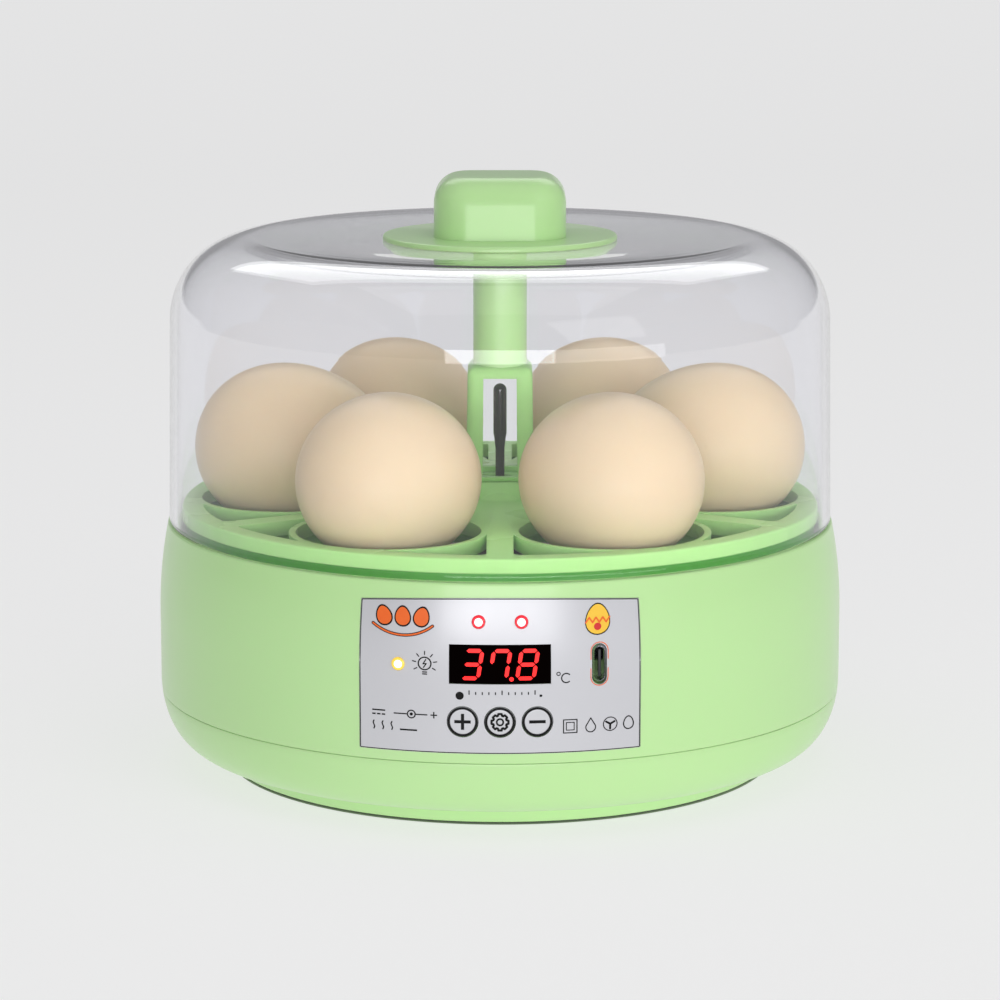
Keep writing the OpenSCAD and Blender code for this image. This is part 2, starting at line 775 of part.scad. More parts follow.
module egg_front_right() { egg(30); }
module egg_right() { egg(90); }
module egg_rear_right() { egg(150); }
module egg_rear_left() { egg(210); }
module egg_left() { egg(270); }
module egg_front_left() { egg(330); }

base_shell();
bottom_shell();
rubber_feet();
case_screws();
inner_pan();
heater_ring();
heater_clips();
fan_frame();
fan_rotor();
fan_grille();
fan_screws();
control_board();
board_screws();
board_chips();
alarm_sounder();
display_module();
display_window();
tact_switches();
alarm_lamps();
lamp_indicator();
usb_socket();
usb_tongue();
control_label();
temperature_probe();
probe_grommet();
probe_lead();
fan_lead();
heater_leads();
key_plus();
key_set();
key_minus();
egg_tray();
sensor_cage();
dome_cover();
lid_knob();
knob_flange();
stem_tube();
stem_screw();
egg_front_right();
egg_right();
egg_rear_right();
egg_rear_left();
egg_left();
egg_front_left();
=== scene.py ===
"""An egg incubator for six eggs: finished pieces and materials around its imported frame."""

import logging
import math
from dataclasses import dataclass, field
from enum import Enum
from typing import Callable, Iterable, Sequence

import bpy
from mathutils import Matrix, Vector


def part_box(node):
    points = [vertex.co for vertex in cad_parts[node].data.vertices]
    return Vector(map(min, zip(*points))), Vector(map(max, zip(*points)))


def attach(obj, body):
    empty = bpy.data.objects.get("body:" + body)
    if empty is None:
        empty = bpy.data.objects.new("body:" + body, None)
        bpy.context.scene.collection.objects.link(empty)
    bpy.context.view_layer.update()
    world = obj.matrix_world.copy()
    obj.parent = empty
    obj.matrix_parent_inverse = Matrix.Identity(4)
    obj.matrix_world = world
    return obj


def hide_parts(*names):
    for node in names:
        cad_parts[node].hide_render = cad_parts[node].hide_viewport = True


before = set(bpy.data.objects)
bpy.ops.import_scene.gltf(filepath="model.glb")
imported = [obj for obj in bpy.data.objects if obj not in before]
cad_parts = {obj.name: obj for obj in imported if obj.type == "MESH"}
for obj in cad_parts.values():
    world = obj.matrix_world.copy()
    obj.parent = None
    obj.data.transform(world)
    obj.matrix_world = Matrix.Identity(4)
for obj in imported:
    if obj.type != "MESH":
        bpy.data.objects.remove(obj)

LOG = logging.getLogger("incubator")
MM = 0.001
FULL_TURN = 2 * math.pi
Point = tuple[float, float]
Place = tuple[float, float, float]
Colour = tuple[float, float, float, float]
Piece, Face, Paint = bpy.types.Object, bpy.types.MeshPolygon, bpy.types.Material
Tree, Node, Socket = bpy.types.NodeTree, bpy.types.Node, bpy.types.NodeSocket


def srgb(red: float, green: float, blue: float) -> Colour:
    """Turns a paint-chart colour into the linear colour that a shader takes.

    Args:
        red: Red, 0 to 255.
        green: Green, 0 to 255.
        blue: Blue, 0 to 255.

    Returns:
        Red, green, blue and alpha, each 0 to 1.
    """
    def linear(value: float) -> float:
        """One channel, from the chart's curve to linear light."""
        share = value / 255
        return share / 12.92 if share <= 0.04045 else ((share + 0.055) / 1.055) ** 2.4

    return linear(red), linear(green), linear(blue), 1.0


class Body(Enum):
    """The moving bodies that pieces ride on."""

    BASE = "base"
    FAN = "fan"
    TRAY = "tray"
    LID = "lid"
    KEY_PLUS = "key_plus"
    KEY_SET = "key_set"
    KEY_MINUS = "key_minus"


# ---- modelling bench


class Bench:
    """The modelling operations that every sub-assembly uses."""

    @staticmethod
    def clear() -> None:
        """Deselects everything."""
        bpy.ops.object.select_all(action="DESELECT")

    @staticmethod
    def pick(*pieces: Piece) -> None:
        """Selects only these pieces, and makes the first one active.

        Args:
            pieces: The pieces.
        """
        Bench.clear()
        for piece in pieces:
            piece.select_set(True)
        bpy.context.view_layer.objects.active = pieces[0]

    @staticmethod
    def take(name: str) -> Piece:
        """Names the primitive that was just added and puts its place into its mesh.

        Args:
            name: The piece's name.

        Returns:
            The piece.
        """
        piece = bpy.context.active_object
        piece.name = name
        piece.data.name = name
        Bench.pick(piece)
        bpy.ops.object.transform_apply(location=True, rotation=True, scale=True)
        return piece

    @staticmethod
    def edit(piece: Piece, everything: bool = True) -> None:
        """Opens a piece in edit mode, with all of it selected or none of it.

        Args:
            piece: The piece.
            everything: True to select all of it.
        """
        Bench.pick(piece)
        bpy.ops.object.mode_set(mode="EDIT")
        bpy.ops.mesh.select_mode(type="VERT")
        bpy.ops.mesh.select_all(action="SELECT" if everything else "DESELECT")

    @staticmethod
    def close() -> None:
        """Leaves edit mode."""
        bpy.ops.object.mode_set(mode="OBJECT")

    @staticmethod
    def pick_faces(piece: Piece, wanted: Callable[[Face], bool]) -> None:
        """Opens a piece in edit mode with only the wanted faces selected.

        Args:
            piece: The piece.
            wanted: Tells whether a face is wanted.
        """
        Bench.edit(piece, everything=False)
        bpy.ops.mesh.select_mode(type="FACE")
        Bench.close()
        for face in piece.data.polygons:
            face.select = wanted(face)
        bpy.ops.object.mode_set(mode="EDIT")

    @staticmethod
    def outline(name: str, points: Sequence[Sequence[float]], ring: bool = False) -> Piece:
        """Draws a line of edges by extruding one vertex from point to point.

        Args:
            name: The piece's name.
            points: Three-dimensional points, in metres.
            ring: True to join the last point to the first.

        Returns:
            The piece, which has no faces yet.
        """
        Bench.clear()
        bpy.ops.mesh.primitive_plane_add(size=MM)
        piece = Bench.take(name)
        Bench.edit(piece)
        bpy.ops.mesh.merge(type="CENTER")
        bpy.ops.transform.translate(value=points[0])
        last = Vector(points[0])
        for point in points[1:]:
            step = Vector(point) - last
            bpy.ops.mesh.extrude_vertices_move(TRANSFORM_OT_translate={"value": step})
            last = Vector(point)
        Bench.close()
        if ring:
            ends = (0, len(points) - 1)
            for vertex in piece.data.vertices:
                vertex.select = vertex.index in ends
            bpy.ops.object.mode_set(mode="EDIT")
            bpy.ops.mesh.edge_face_add()
            Bench.close()
        return piece

    @staticmethod
    def tidy(piece: Piece) -> None:
        """Merges doubled points and turns every face outwards.

        Args:
            piece: The piece.
        """
        Bench.edit(piece)
        bpy.ops.mesh.remove_doubles(threshold=2e-6)
        bpy.ops.mesh.normals_make_consistent(inside=False)
        Bench.close()

    @staticmethod
    def turned(name: str, profile: Sequence[Point], steps: int = 128, ring: bool = True,
               centre: Point = (0.0, 0.0)) -> Piece:
        """Turns a profile round an upright axis, as on a lathe.

        Args:
            name: The piece's name.
            profile: Radius and height of each point, in metres.
            steps: How many steps make a full turn.
            ring: True if the profile closes on itself away from the axis.
            centre: Where the axis stands.

        Returns:
            The closed piece.
        """
        points = [(centre[0], centre[1] - radius, height) for radius, height in profile]
        piece = Bench.outline(name, points, ring)
        Bench.edit(piece)
        bpy.ops.mesh.spin(steps=steps, angle=FULL_TURN, center=(*centre, 0), axis=(0, 0, 1))
        Bench.close()
        Bench.tidy(piece)
        return piece

    @staticmethod
    def block(name: str, low: Sequence[float], high: Sequence[float]) -> Piece:
        """A box between two corners.

        Args:
            name: The piece's name.
            low: The lowest corner.
            high: The highest corner.

        Returns:
            The box.
        """
        Bench.clear()
        centre = [(a + b) / 2 for a, b in zip(low, high)]
        size = [b - a for a, b in zip(low, high)]
        bpy.ops.mesh.primitive_cube_add(size=1, location=centre, scale=size)
        return Bench.take(name)

    @staticmethod
    def rod(name: str, radius: float, start: Sequence[float], end: Sequence[float],
            sides: int = 48) -> Piece:
        """A round rod from one point to another.

        Args:
            name: The piece's name.
            radius: Its radius.
            start: Where it starts.
            end: Where it ends.
            sides: How many sides it has.

        Returns:
            The rod.
        """
        Bench.clear()
        along = Vector(end) - Vector(start)
        centre = (Vector(start) + Vector(end)) / 2
        bpy.ops.mesh.primitive_cylinder_add(
            vertices=sides, radius=radius, depth=along.length, location=centre,
            rotation=along.to_track_quat("Z", "Y").to_euler())
        return Bench.take(name)

    @staticmethod
    def modify(piece: Piece, kind: str, **settings: object) -> None:
        """Adds a modifier with its settings and applies it.

        Args:
            piece: The piece.
            kind: The modifier's kind.
            settings: The modifier's settings.
        """
        Bench.pick(piece)
        modifier = piece.modifiers.new(kind.title(), kind)
        for key, value in settings.items():
            setattr(modifier, key, value)
        bpy.ops.object.modifier_apply(modifier=modifier.name)

    @staticmethod
    def cut(piece: Piece, *cutters: Piece) -> None:
        """Cuts the cutters' shapes out of a piece and removes them.

        Args:
            piece: The piece.
            cutters: The shapes to cut out.
        """
        for cutter in cutters:
            Bench.modify(piece, "BOOLEAN", operation="DIFFERENCE", solver="EXACT", object=cutter)
            bpy.data.objects.remove(cutter)

    @staticmethod
    def joined(name: str, parts: Sequence[Piece]) -> Piece:
        """Joins parts into one piece.

        Args:
            name: The piece's name.
            parts: What is joined.

        Returns:
            The piece.
        """
        Bench.pick(*parts)
        if len(parts) > 1:
            bpy.ops.object.join()
        piece = bpy.context.active_object
        piece.name = name
        piece.data.name = name
        return piece

    @staticmethod
    def copied(piece: Piece, name: str, turn: float = 0.0) -> Piece:
        """A copy with its own mesh, turned about the upright axis through the origin.

        Args:
            piece: The piece.
            name: The piece's name.
            turn: Its turn, in radians.

        Returns:
            The copy.
        """
        Bench.pick(piece)
        bpy.ops.object.duplicate(linked=False)
        twin = bpy.context.active_object
        twin.rotation_euler = (0, 0, turn)
        return Bench.take(name)

    @staticmethod
    def soften(piece: Piece, width: float, segments: int = 2, angle: float = 35.0) -> None:
        """Rounds a piece's sharp edges."""
        Bench.modify(piece, "BEVEL", width=width, segments=segments, limit_method="ANGLE",
                     angle_limit=math.radians(angle), use_clamp_overlap=True, harden_normals=False)

    @staticmethod
    def round_along(piece: Piece, axis: int, reach: float, width: float, segments: int) -> None:
        """Rounds only the edges that run along an axis.

        Args:
            piece: The piece.
            axis: 0, 1 or 2 for X, Y or Z.
            reach: How long an edge is at least.
            width: How wide the rounding is.
            segments: How many steps it has.
        """
        Bench.edit(piece, everything=False)
        Bench.close()
        for edge in piece.data.edges:
            start, end = (piece.data.vertices[k].co[axis] for k in edge.vertices)
            edge.select = abs(start - end) > reach
        bpy.ops.object.mode_set(mode="EDIT")
        bpy.ops.mesh.select_mode(type="EDGE")
        bpy.ops.mesh.bevel(offset=width, segments=segments, affect="EDGES")
        Bench.close()

    @staticmethod
    def smooth(piece: Piece, angle: float = 30.0) -> None:
        """Shades a piece smooth, apart from edges sharper than the angle."""
        Bench.pick(piece)
        bpy.ops.object.shade_smooth_by_angle(angle=math.radians(angle))

    @staticmethod
    def shape(piece: Piece, move: Callable[[Vector], Sequence[float]]) -> None:
        """Moves every point of a piece by a rule.

        Args:
            piece: The piece.
            move: Gives each point's new place.
        """
        for vertex in piece.data.vertices:
            vertex.co = move(vertex.co)
        piece.data.update()


def arc(centre: Point, radius: float, start: float, end: float, steps: int) -> list[Point]:
    """Points along an arc.

    Args:
        centre: The arc's centre.
        radius: Its radius.
        start: The first point's direction, in degrees.
        end: The last point's direction, in degrees.
        steps: How many steps lie between them.

    Returns:
        The points, both ends included.
    """
    turns = [math.radians(start + (end - start) * k / steps) for k in range(steps + 1)]
    return [(centre[0] + radius * math.cos(t), centre[1] + radius * math.sin(t)) for t in turns]


def show(piece: Piece, body: Body | str, finish: str, replaces: Iterable[str] = ()) -> Piece:
    """Dresses a finished piece, puts it on its body and reports it.

    Args:
        piece: The finished piece.
        body: The body it rides on.
        finish: Its finish's name.
        replaces: The frame's nodes that it stands for.

    Returns:
        The piece.
    """
    piece.data.materials.clear()
    piece.data.materials.append(Palette.paint(finish))
    rides_on = body.value if isinstance(body, Body) else body
    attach(piece, rides_on)
    if replaces:
        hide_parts(*replaces)
    LOG.info("%s: %d faces on %s", piece.name, len(piece.data.polygons), rides_on)
    return piece


# ---- effects


class Effect(Enum):
    """Shader node groups that more than one finish uses."""

    GRAIN = "moulded_grain"
    DRIFT = "colour_drift"
    SMUDGE = "handling_smudges"
    BRUSH = "brushed_lines"


class Effects:
    """Builds each shared effect once and places it in materials."""

    @staticmethod
    def start(effect: Effect, inputs: dict[str, float | Colour],
              outputs: dict[str, str]) -> tuple[Tree, Node, Node, Socket]:
        """Makes an empty group with its sockets.

        Args:
            effect: Which effect.
            inputs: Its inputs and their values.
            outputs: Its outputs and their kinds.

        Returns:
            The group, its input and output nodes and the object's coordinates.
        """
        tree = bpy.data.node_groups.new(effect.value, "ShaderNodeTree")
        for name, value in inputs.items():
            kind = "NodeSocketColor" if isinstance(value, tuple) else "NodeSocketFloat"
            socket = tree.interface.new_socket(name, in_out="INPUT", socket_type=kind)
            socket.default_value = value
        for name, kind in outputs.items():
            tree.interface.new_socket(name, in_out="OUTPUT", socket_type=kind)
        source, sink = (tree.nodes.new(kind) for kind in ("NodeGroupInput", "NodeGroupOutput"))
        return tree, source, sink, tree.nodes.new("ShaderNodeTexCoord").outputs["Object"]

    @staticmethod
    def noise(tree: Tree, where: Socket, detail: float) -> Node:
        """A noise texture that reads the object's own coordinates.

        Args:
            tree: The node tree.
            where: The coordinates it reads.
            detail: How many octaves it has.

        Returns:
            The texture node.
        """
        node = tree.nodes.new("ShaderNodeTexNoise")
        node.inputs["Detail"].default_value = detail
        tree.links.new(where, node.inputs["Vector"])
        return node

    @staticmethod
    def spread(tree: Tree, value: Socket, low: Socket,
               high: Socket, window: Point = (0.3, 0.7)) -> Socket:
        """Maps a noise value onto the span between two inputs.

        Args:
            tree: The node tree.
            value: The noise.
            low: The input with the lowest result.
            high: The input with the highest result.
            window: The part of the noise's range that counts.

        Returns:
            The mapped value.
        """
        node = tree.nodes.new("ShaderNodeMapRange")
        node.inputs["From Min"].default_value, node.inputs["From Max"].default_value = window
        tree.links.new(value, node.inputs["Value"])
        tree.links.new(low, node.inputs["To Min"])
        tree.links.new(high, node.inputs["To Max"])
        return node.outputs["Result"]

    @classmethod
    def grain(cls) -> Tree:
        """Fine grain of moulded plastic: a height.

        Returns:
            The group.
        """
        tree, source, sink, where = cls.start(Effect.GRAIN, {"Scale": 900.0}, {"Height": "NodeSocketFloat"})
        fine = cls.noise(tree, where, 3)
        wave = cls.noise(tree, where, 1)
        wave.inputs["Scale"].default_value = 60
        tree.links.new(source.outputs["Scale"], fine.inputs["Scale"])
        total = tree.nodes.new("ShaderNodeMath")
        total.operation = "ADD"
        tree.links.new(fine.outputs["Fac"], total.inputs[0])
        tree.links.new(wave.outputs["Fac"], total.inputs[1])
        tree.links.new(total.outputs[0], sink.inputs["Height"])
        return tree

    @classmethod
    def drift(cls) -> Tree:
        """Slow variation between two shades: a colour.

        Returns:
            The group.
        """
        white = (1.0, 1.0, 1.0, 1.0)
        tree, source, sink, where = cls.start(
            Effect.DRIFT, {"Light": white, "Deep": white, "Scale": 12.0}, {"Color": "NodeSocketColor"})
        slow = cls.noise(tree, where, 2)
        tree.links.new(source.outputs["Scale"], slow.inputs["Scale"])
        blend = tree.nodes.new("ShaderNodeMix")
        blend.data_type = "RGBA"
        tree.links.new(slow.outputs["Fac"], blend.inputs[0])
        tree.links.new(source.outputs["Light"], blend.inputs[6])
        tree.links.new(source.outputs["Deep"], blend.inputs[7])
        tree.links.new(blend.outputs[2], sink.inputs["Color"])
        return tree

    @classmethod
    def smudge(cls) -> Tree:
        """Soft patches left by handling: a roughness between two limits.

        Returns:
            The group.
        """
        tree, source, sink, where = cls.start(
            Effect.SMUDGE, {"Low": 0.1, "High": 0.2, "Scale": 30.0}, {"Roughness": "NodeSocketFloat"})
        patch = cls.noise(tree, where, 4)
        tree.links.new(source.outputs["Scale"], patch.inputs["Scale"])
        result = cls.spread(tree, patch.outputs["Fac"], source.outputs["Low"], source.outputs["High"])
        tree.links.new(result, sink.inputs["Roughness"])
        return tree

    @classmethod
    def brush(cls) -> Tree:
        """Long fine lines of drawn metal: a height and a roughness.

        Returns:
            The group.
        """
        tree, source, sink, where = cls.start(
            Effect.BRUSH, {"Low": 0.2, "High": 0.4},
            {"Height": "NodeSocketFloat", "Roughness": "NodeSocketFloat"})
        stretch = tree.nodes.new("ShaderNodeMapping")
        stretch.inputs["Scale"].default_value = (4000, 300, 4000)
        tree.links.new(where, stretch.inputs["Vector"])
        lines = cls.noise(tree, stretch.outputs["Vector"], 2)
        lines.inputs["Scale"].default_value = 1
        result = cls.spread(tree, lines.outputs["Fac"], source.outputs["Low"], source.outputs["High"])
        tree.links.new(lines.outputs["Fac"], sink.inputs["Height"])
        tree.links.new(result, sink.inputs["Roughness"])
        return tree

    @classmethod
    def place(cls, tree: Tree, effect: Effect, **values: object) -> Node:
        """Places an effect in a material, building its group on first use.

        Args:
            tree: The material's node tree.
            effect: Which effect.
            values: What its inputs are set to.

        Returns:
            The group node.
        """
        makers = {Effect.GRAIN: cls.grain, Effect.DRIFT: cls.drift, Effect.SMUDGE: cls.smudge,
                  Effect.BRUSH: cls.brush}
        node = tree.nodes.new("ShaderNodeGroup")
        node.node_tree = bpy.data.node_groups.get(effect.value) or makers[effect]()
        for name, value in values.items():
            node.inputs[name].default_value = value
        return node


# ---- finishes


@dataclass(frozen=True)
class Finish:
    """A finish whose colour drifts slightly and whose gloss and grain vary."""

    name: str
    light: Colour
    deep: Colour
    rough: Point = (0.2, 0.3)
    drift_scale: float = 12.0
    smudge_scale: float = 30.0
    grain_scale: float = 900.0
    grain_depth: float = 0.0
    settings: dict[str, object] = field(default_factory=dict)

    def start(self) -> tuple[Paint, Tree, Node]:
        """Makes the material and sets the shader's plain values.

        Returns:
            The material, its node tree and its shader.
        """
        paint = bpy.data.materials.new(self.name)
        paint.use_nodes = True
        tree = paint.node_tree
        shader = tree.nodes["Principled BSDF"]
        for name, value in self.settings.items():
            shader.inputs[name].default_value = value
        paint.diffuse_color = self.light
        return paint, tree, shader

    def bump(self, tree: Tree, shader: Node, height: Socket) -> None:
        """Leads a height into the shader's normal.

        Args:
            tree: The node tree.
            shader: The shader.
            height: The height.
        """
        node = tree.nodes.new("ShaderNodeBump")
        node.inputs["Strength"].default_value = 1.0
        node.inputs["Distance"].default_value = self.grain_depth
        tree.links.new(height, node.inputs["Height"])
        tree.links.new(node.outputs["Normal"], shader.inputs["Normal"])

    def gloss(self, tree: Tree, shader: Node) -> None:
        """Leads smudges into the shader's roughness.

        Args:
            tree: The node tree.
            shader: The shader.
        """
        low, high = self.rough
        smudges = Effects.place(tree, Effect.SMUDGE, Low=low, High=high, Scale=self.smudge_scale)
        tree.links.new(smudges.outputs["Roughness"], shader.inputs["Roughness"])

    def colour(self, tree: Tree) -> Socket:
        """The finish's drifting colour."""
        node = Effects.place(tree, Effect.DRIFT, Light=self.light, Deep=self.deep, Scale=self.drift_scale)
        return node.outputs["Color"]

    def build(self) -> Paint:
        """Builds the material.

        Returns:
            The material.
        """
        paint, tree, shader = self.start()
        tree.links.new(self.colour(tree), shader.inputs["Base Color"])
        self.gloss(tree, shader)
        if self.grain_depth > 0:
            grain = Effects.place(tree, Effect.GRAIN, Scale=self.grain_scale)
            self.bump(tree, shader, grain.outputs["Height"])
        return paint


@dataclass(frozen=True)
class Metal(Finish):
    """Metal with fine drawn lines."""

    def build(self) -> Paint:
        """Builds the material.

        Returns:
            The material.
        """
        paint, tree, shader = self.start()
        shader.inputs["Metallic"].default_value = 1.0
        tree.links.new(self.colour(tree), shader.inputs["Base Color"])
        low, high = self.rough
        lines = Effects.place(tree, Effect.BRUSH, Low=low, High=high)
        tree.links.new(lines.outputs["Roughness"], shader.inputs["Roughness"])
        self.bump(tree, shader, lines.outputs["Height"])
        return paint


@dataclass(frozen=True)
class Shell(Finish):
    """Eggshell: warm, satin, finely pored and faintly speckled."""

    speckle: Colour = (0.5, 0.35, 0.22, 1.0)
    speckle_scale: float = 520.0
    pore_scale: float = 1500.0

    def build(self) -> Paint:
        """Builds the material.

        Returns:
            The material.
        """
        paint, tree, shader = self.start()
        where = tree.nodes.new("ShaderNodeTexCoord").outputs["Object"]
        dots = tree.nodes.new("ShaderNodeTexNoise")
        dots.inputs["Scale"].default_value = self.speckle_scale
        dots.inputs["Detail"].default_value = 2
        tree.links.new(where, dots.inputs["Vector"])
        mask = tree.nodes.new("ShaderNodeMapRange")
        mask.inputs["From Min"].default_value = 0.66
        mask.inputs["From Max"].default_value = 0.78
        mask.inputs["To Max"].default_value = 0.16
        tree.links.new(dots.outputs["Fac"], mask.inputs["Value"])
        blend = tree.nodes.new("ShaderNodeMix")
        blend.data_type = "RGBA"
        tree.links.new(mask.outputs["Result"], blend.inputs[0])
        tree.links.new(self.colour(tree), blend.inputs[6])
        blend.inputs[7].default_value = self.speckle
        tree.links.new(blend.outputs[2], shader.inputs["Base Color"])
        self.gloss(tree, shader)
        pores = Effects.place(tree, Effect.GRAIN, Scale=self.pore_scale)
        self.bump(tree, shader, pores.outputs["Height"])
        return paint


@dataclass(frozen=True)
class Clear(Finish):
    """Clear moulded plastic that lets the lamps' light through to what is under it."""

    def build(self) -> Paint:
        """Builds the material.

        Returns:
            The material.
        """
        paint, tree, shader = self.start()
        tree.links.new(self.colour(tree), shader.inputs["Base Color"])
        self.gloss(tree, shader)
        path = tree.nodes.new("ShaderNodeLightPath")
        open_way = tree.nodes.new("ShaderNodeBsdfTransparent")
        blend = tree.nodes.new("ShaderNodeMixShader")
        tree.links.new(path.outputs["Is Shadow Ray"], blend.inputs["Fac"])
        tree.links.new(shader.outputs["BSDF"], blend.inputs[1])
        tree.links.new(open_way.outputs["BSDF"], blend.inputs[2])
        tree.links.new(blend.outputs["Shader"], tree.nodes["Material Output"].inputs["Surface"])
        return paint


@dataclass(frozen=True)
class Glow(Finish):
    """A lit lamp or segment whose brightness varies a little over its face."""

    glow: Colour = (1.0, 0.0, 0.0, 1.0)
    strength: float = 2.0

    def build(self) -> Paint:
        """Builds the material.

        Returns:
            The material.
        """
        paint, tree, shader = self.start()
        shader.inputs["Emission Strength"].default_value = self.strength
        tree.links.new(self.colour(tree), shader.inputs["Base Color"])
        self.gloss(tree, shader)
        dim = tuple(0.8 * part for part in self.glow[:3]) + (1.0,)
        light = Effects.place(tree, Effect.DRIFT, Light=self.glow, Deep=dim, Scale=400.0)
        tree.links.new(light.outputs["Color"], shader.inputs["Emission Color"])
        return paint


class Palette:
    """Every finish of the incubator, built on first use."""

    FINISHES: dict[str, Finish] = {
        finish.name: finish for finish in (
            Finish("green_casing", srgb(190, 231, 162), srgb(186, 228, 157), (0.3, 0.38), grain_depth=4e-6,
                   settings={"Coat Weight": 0.3, "Coat Roughness": 0.1, "Coat IOR": 1.5,
                             "Specular IOR Level": 0.5, "Subsurface Weight": 0.12,
                             "Subsurface Radius": (0.4, 0.9, 0.35), "Subsurface Scale": 0.004}),
            Finish("green_tray", srgb(180, 231, 148), srgb(174, 226, 141), (0.24, 0.32), grain_depth=2e-6,
                   settings={"Coat Weight": 0.04, "Coat Roughness": 0.06, "Specular IOR Level": 0.06,
                             "Subsurface Weight": 0.12, "Subsurface Radius": (0.4, 0.9, 0.35),
                             "Subsurface Scale": 0.004}),
            Finish("green_inside", srgb(132, 205, 92), srgb(124, 197, 84), (0.35, 0.5), grain_depth=2e-5),
            # darker copy of the tray green: painted shade for the skirt under the tray's rim
            Finish("green_painted_shade", srgb(58, 152, 18), srgb(50, 144, 14), (0.45, 0.6), grain_depth=1e-5),
            Clear("clear_dome", srgb(251, 251, 253), srgb(248, 248, 251), (0.0, 0.025), smudge_scale=18.0,
                  settings={"Transmission Weight": 1.0, "IOR": 1.46}),
            Shell("hen_eggshell", srgb(229, 208, 176), srgb(223, 200, 165), (0.3, 0.42), drift_scale=30.0,
                  grain_depth=1.2e-5,
                  settings={"Subsurface Weight": 0.15, "Subsurface Radius": (1.0, 0.6, 0.35),
                            "Subsurface Scale": 0.004, "Specular IOR Level": 0.25}),
            Finish("silver_film", srgb(205, 205, 209), srgb(198, 198, 203), (0.28, 0.36), smudge_scale=60.0,
                   grain_scale=3000.0, grain_depth=4e-6,
                   settings={"Metallic": 0.25, "Coat Weight": 0.25, "Coat Roughness": 0.14}),
            Finish("ink_black", srgb(6, 6, 7), srgb(12, 12, 13), (0.45, 0.6), drift_scale=300.0,
                   settings={"Specular IOR Level": 0.2}),
            Finish("ink_orange", srgb(240, 108, 28), srgb(232, 96, 22), (0.35, 0.5), drift_scale=300.0),
            Finish("ink_yellow", srgb(246, 200, 62), srgb(240, 188, 48), (0.35, 0.5), drift_scale=300.0),
            Finish("ink_red", srgb(214, 38, 40), srgb(200, 30, 34), (0.35, 0.5), drift_scale=300.0),
            Finish("smoked_window", srgb(4, 2, 2), srgb(7, 3, 3), (0.12, 0.2),
                   settings={"Specular IOR Level": 0.0}),
            Glow("red_segments", srgb(230, 20, 20), srgb(214, 14, 14), (0.3, 0.4),
                 glow=(1.0, 0.004, 0.004, 1.0), strength=1.0),
            Glow("red_lamp_ring", srgb(220, 30, 45), srgb(210, 24, 38), (0.1, 0.2),
                 glow=(0.9, 0.02, 0.05, 1.0), strength=0.5),
            Glow("white_lamp_core", srgb(255, 250, 248), srgb(250, 240, 238), (0.1, 0.2),
                 glow=(1.0, 0.93, 0.9, 1.0), strength=0.8),
            Glow("amber_lamp_ring", srgb(245, 205, 80), srgb(240, 196, 60), (0.1, 0.2),
                 glow=(1.0, 0.72, 0.12, 1.0), strength=0.4),
            Finish("black_gloss", srgb(12, 12, 13), srgb(18, 18, 19), (0.08, 0.16), grain_depth=2e-6,
                   settings={"Coat Weight": 0.5, "Coat Roughness": 0.05}),
            Finish("black_satin", srgb(34, 34, 36), srgb(42, 42, 45), (0.35, 0.5), grain_depth=1.5e-5),
            Finish("foot_rubber", srgb(30, 30, 31), srgb(38, 38, 39), (0.6, 0.8), grain_depth=3e-5),
            Finish("white_ceramic", srgb(232, 230, 222), srgb(222, 219, 208), (0.4, 0.6), grain_depth=1.5e-5),
            Finish("board_mask", srgb(16, 84, 48), srgb(12, 72, 40), (0.25, 0.4), grain_depth=6e-6),
            Finish("lead_black", srgb(28, 28, 30), srgb(36, 36, 38), (0.35, 0.5), grain_depth=8e-6),
            Finish("lead_red", srgb(170, 26, 28), srgb(154, 20, 24), (0.35, 0.5), grain_depth=8e-6),
            Finish("lead_white", srgb(226, 226, 222), srgb(214, 214, 210), (0.35, 0.5), grain_depth=8e-6),
            Metal("plated_steel", srgb(205, 206, 210), srgb(188, 189, 194), (0.14, 0.3), grain_depth=3e-6),
            Metal("heater_sheath", srgb(140, 126, 118), srgb(112, 98, 92), (0.3, 0.45), grain_depth=6e-6),
        )
    }

    MADE: dict[str, Paint] = {}

    @classmethod
    def paint(cls, name: str) -> Paint:
        """The material of that finish, which is built once.

        Args:
            name: The finish's name.

        Returns:
            The material.
        """
        if name not in cls.MADE:
            cls.MADE[name] = cls.FINISHES[name].build()
        return cls.MADE[name]


# ---- base


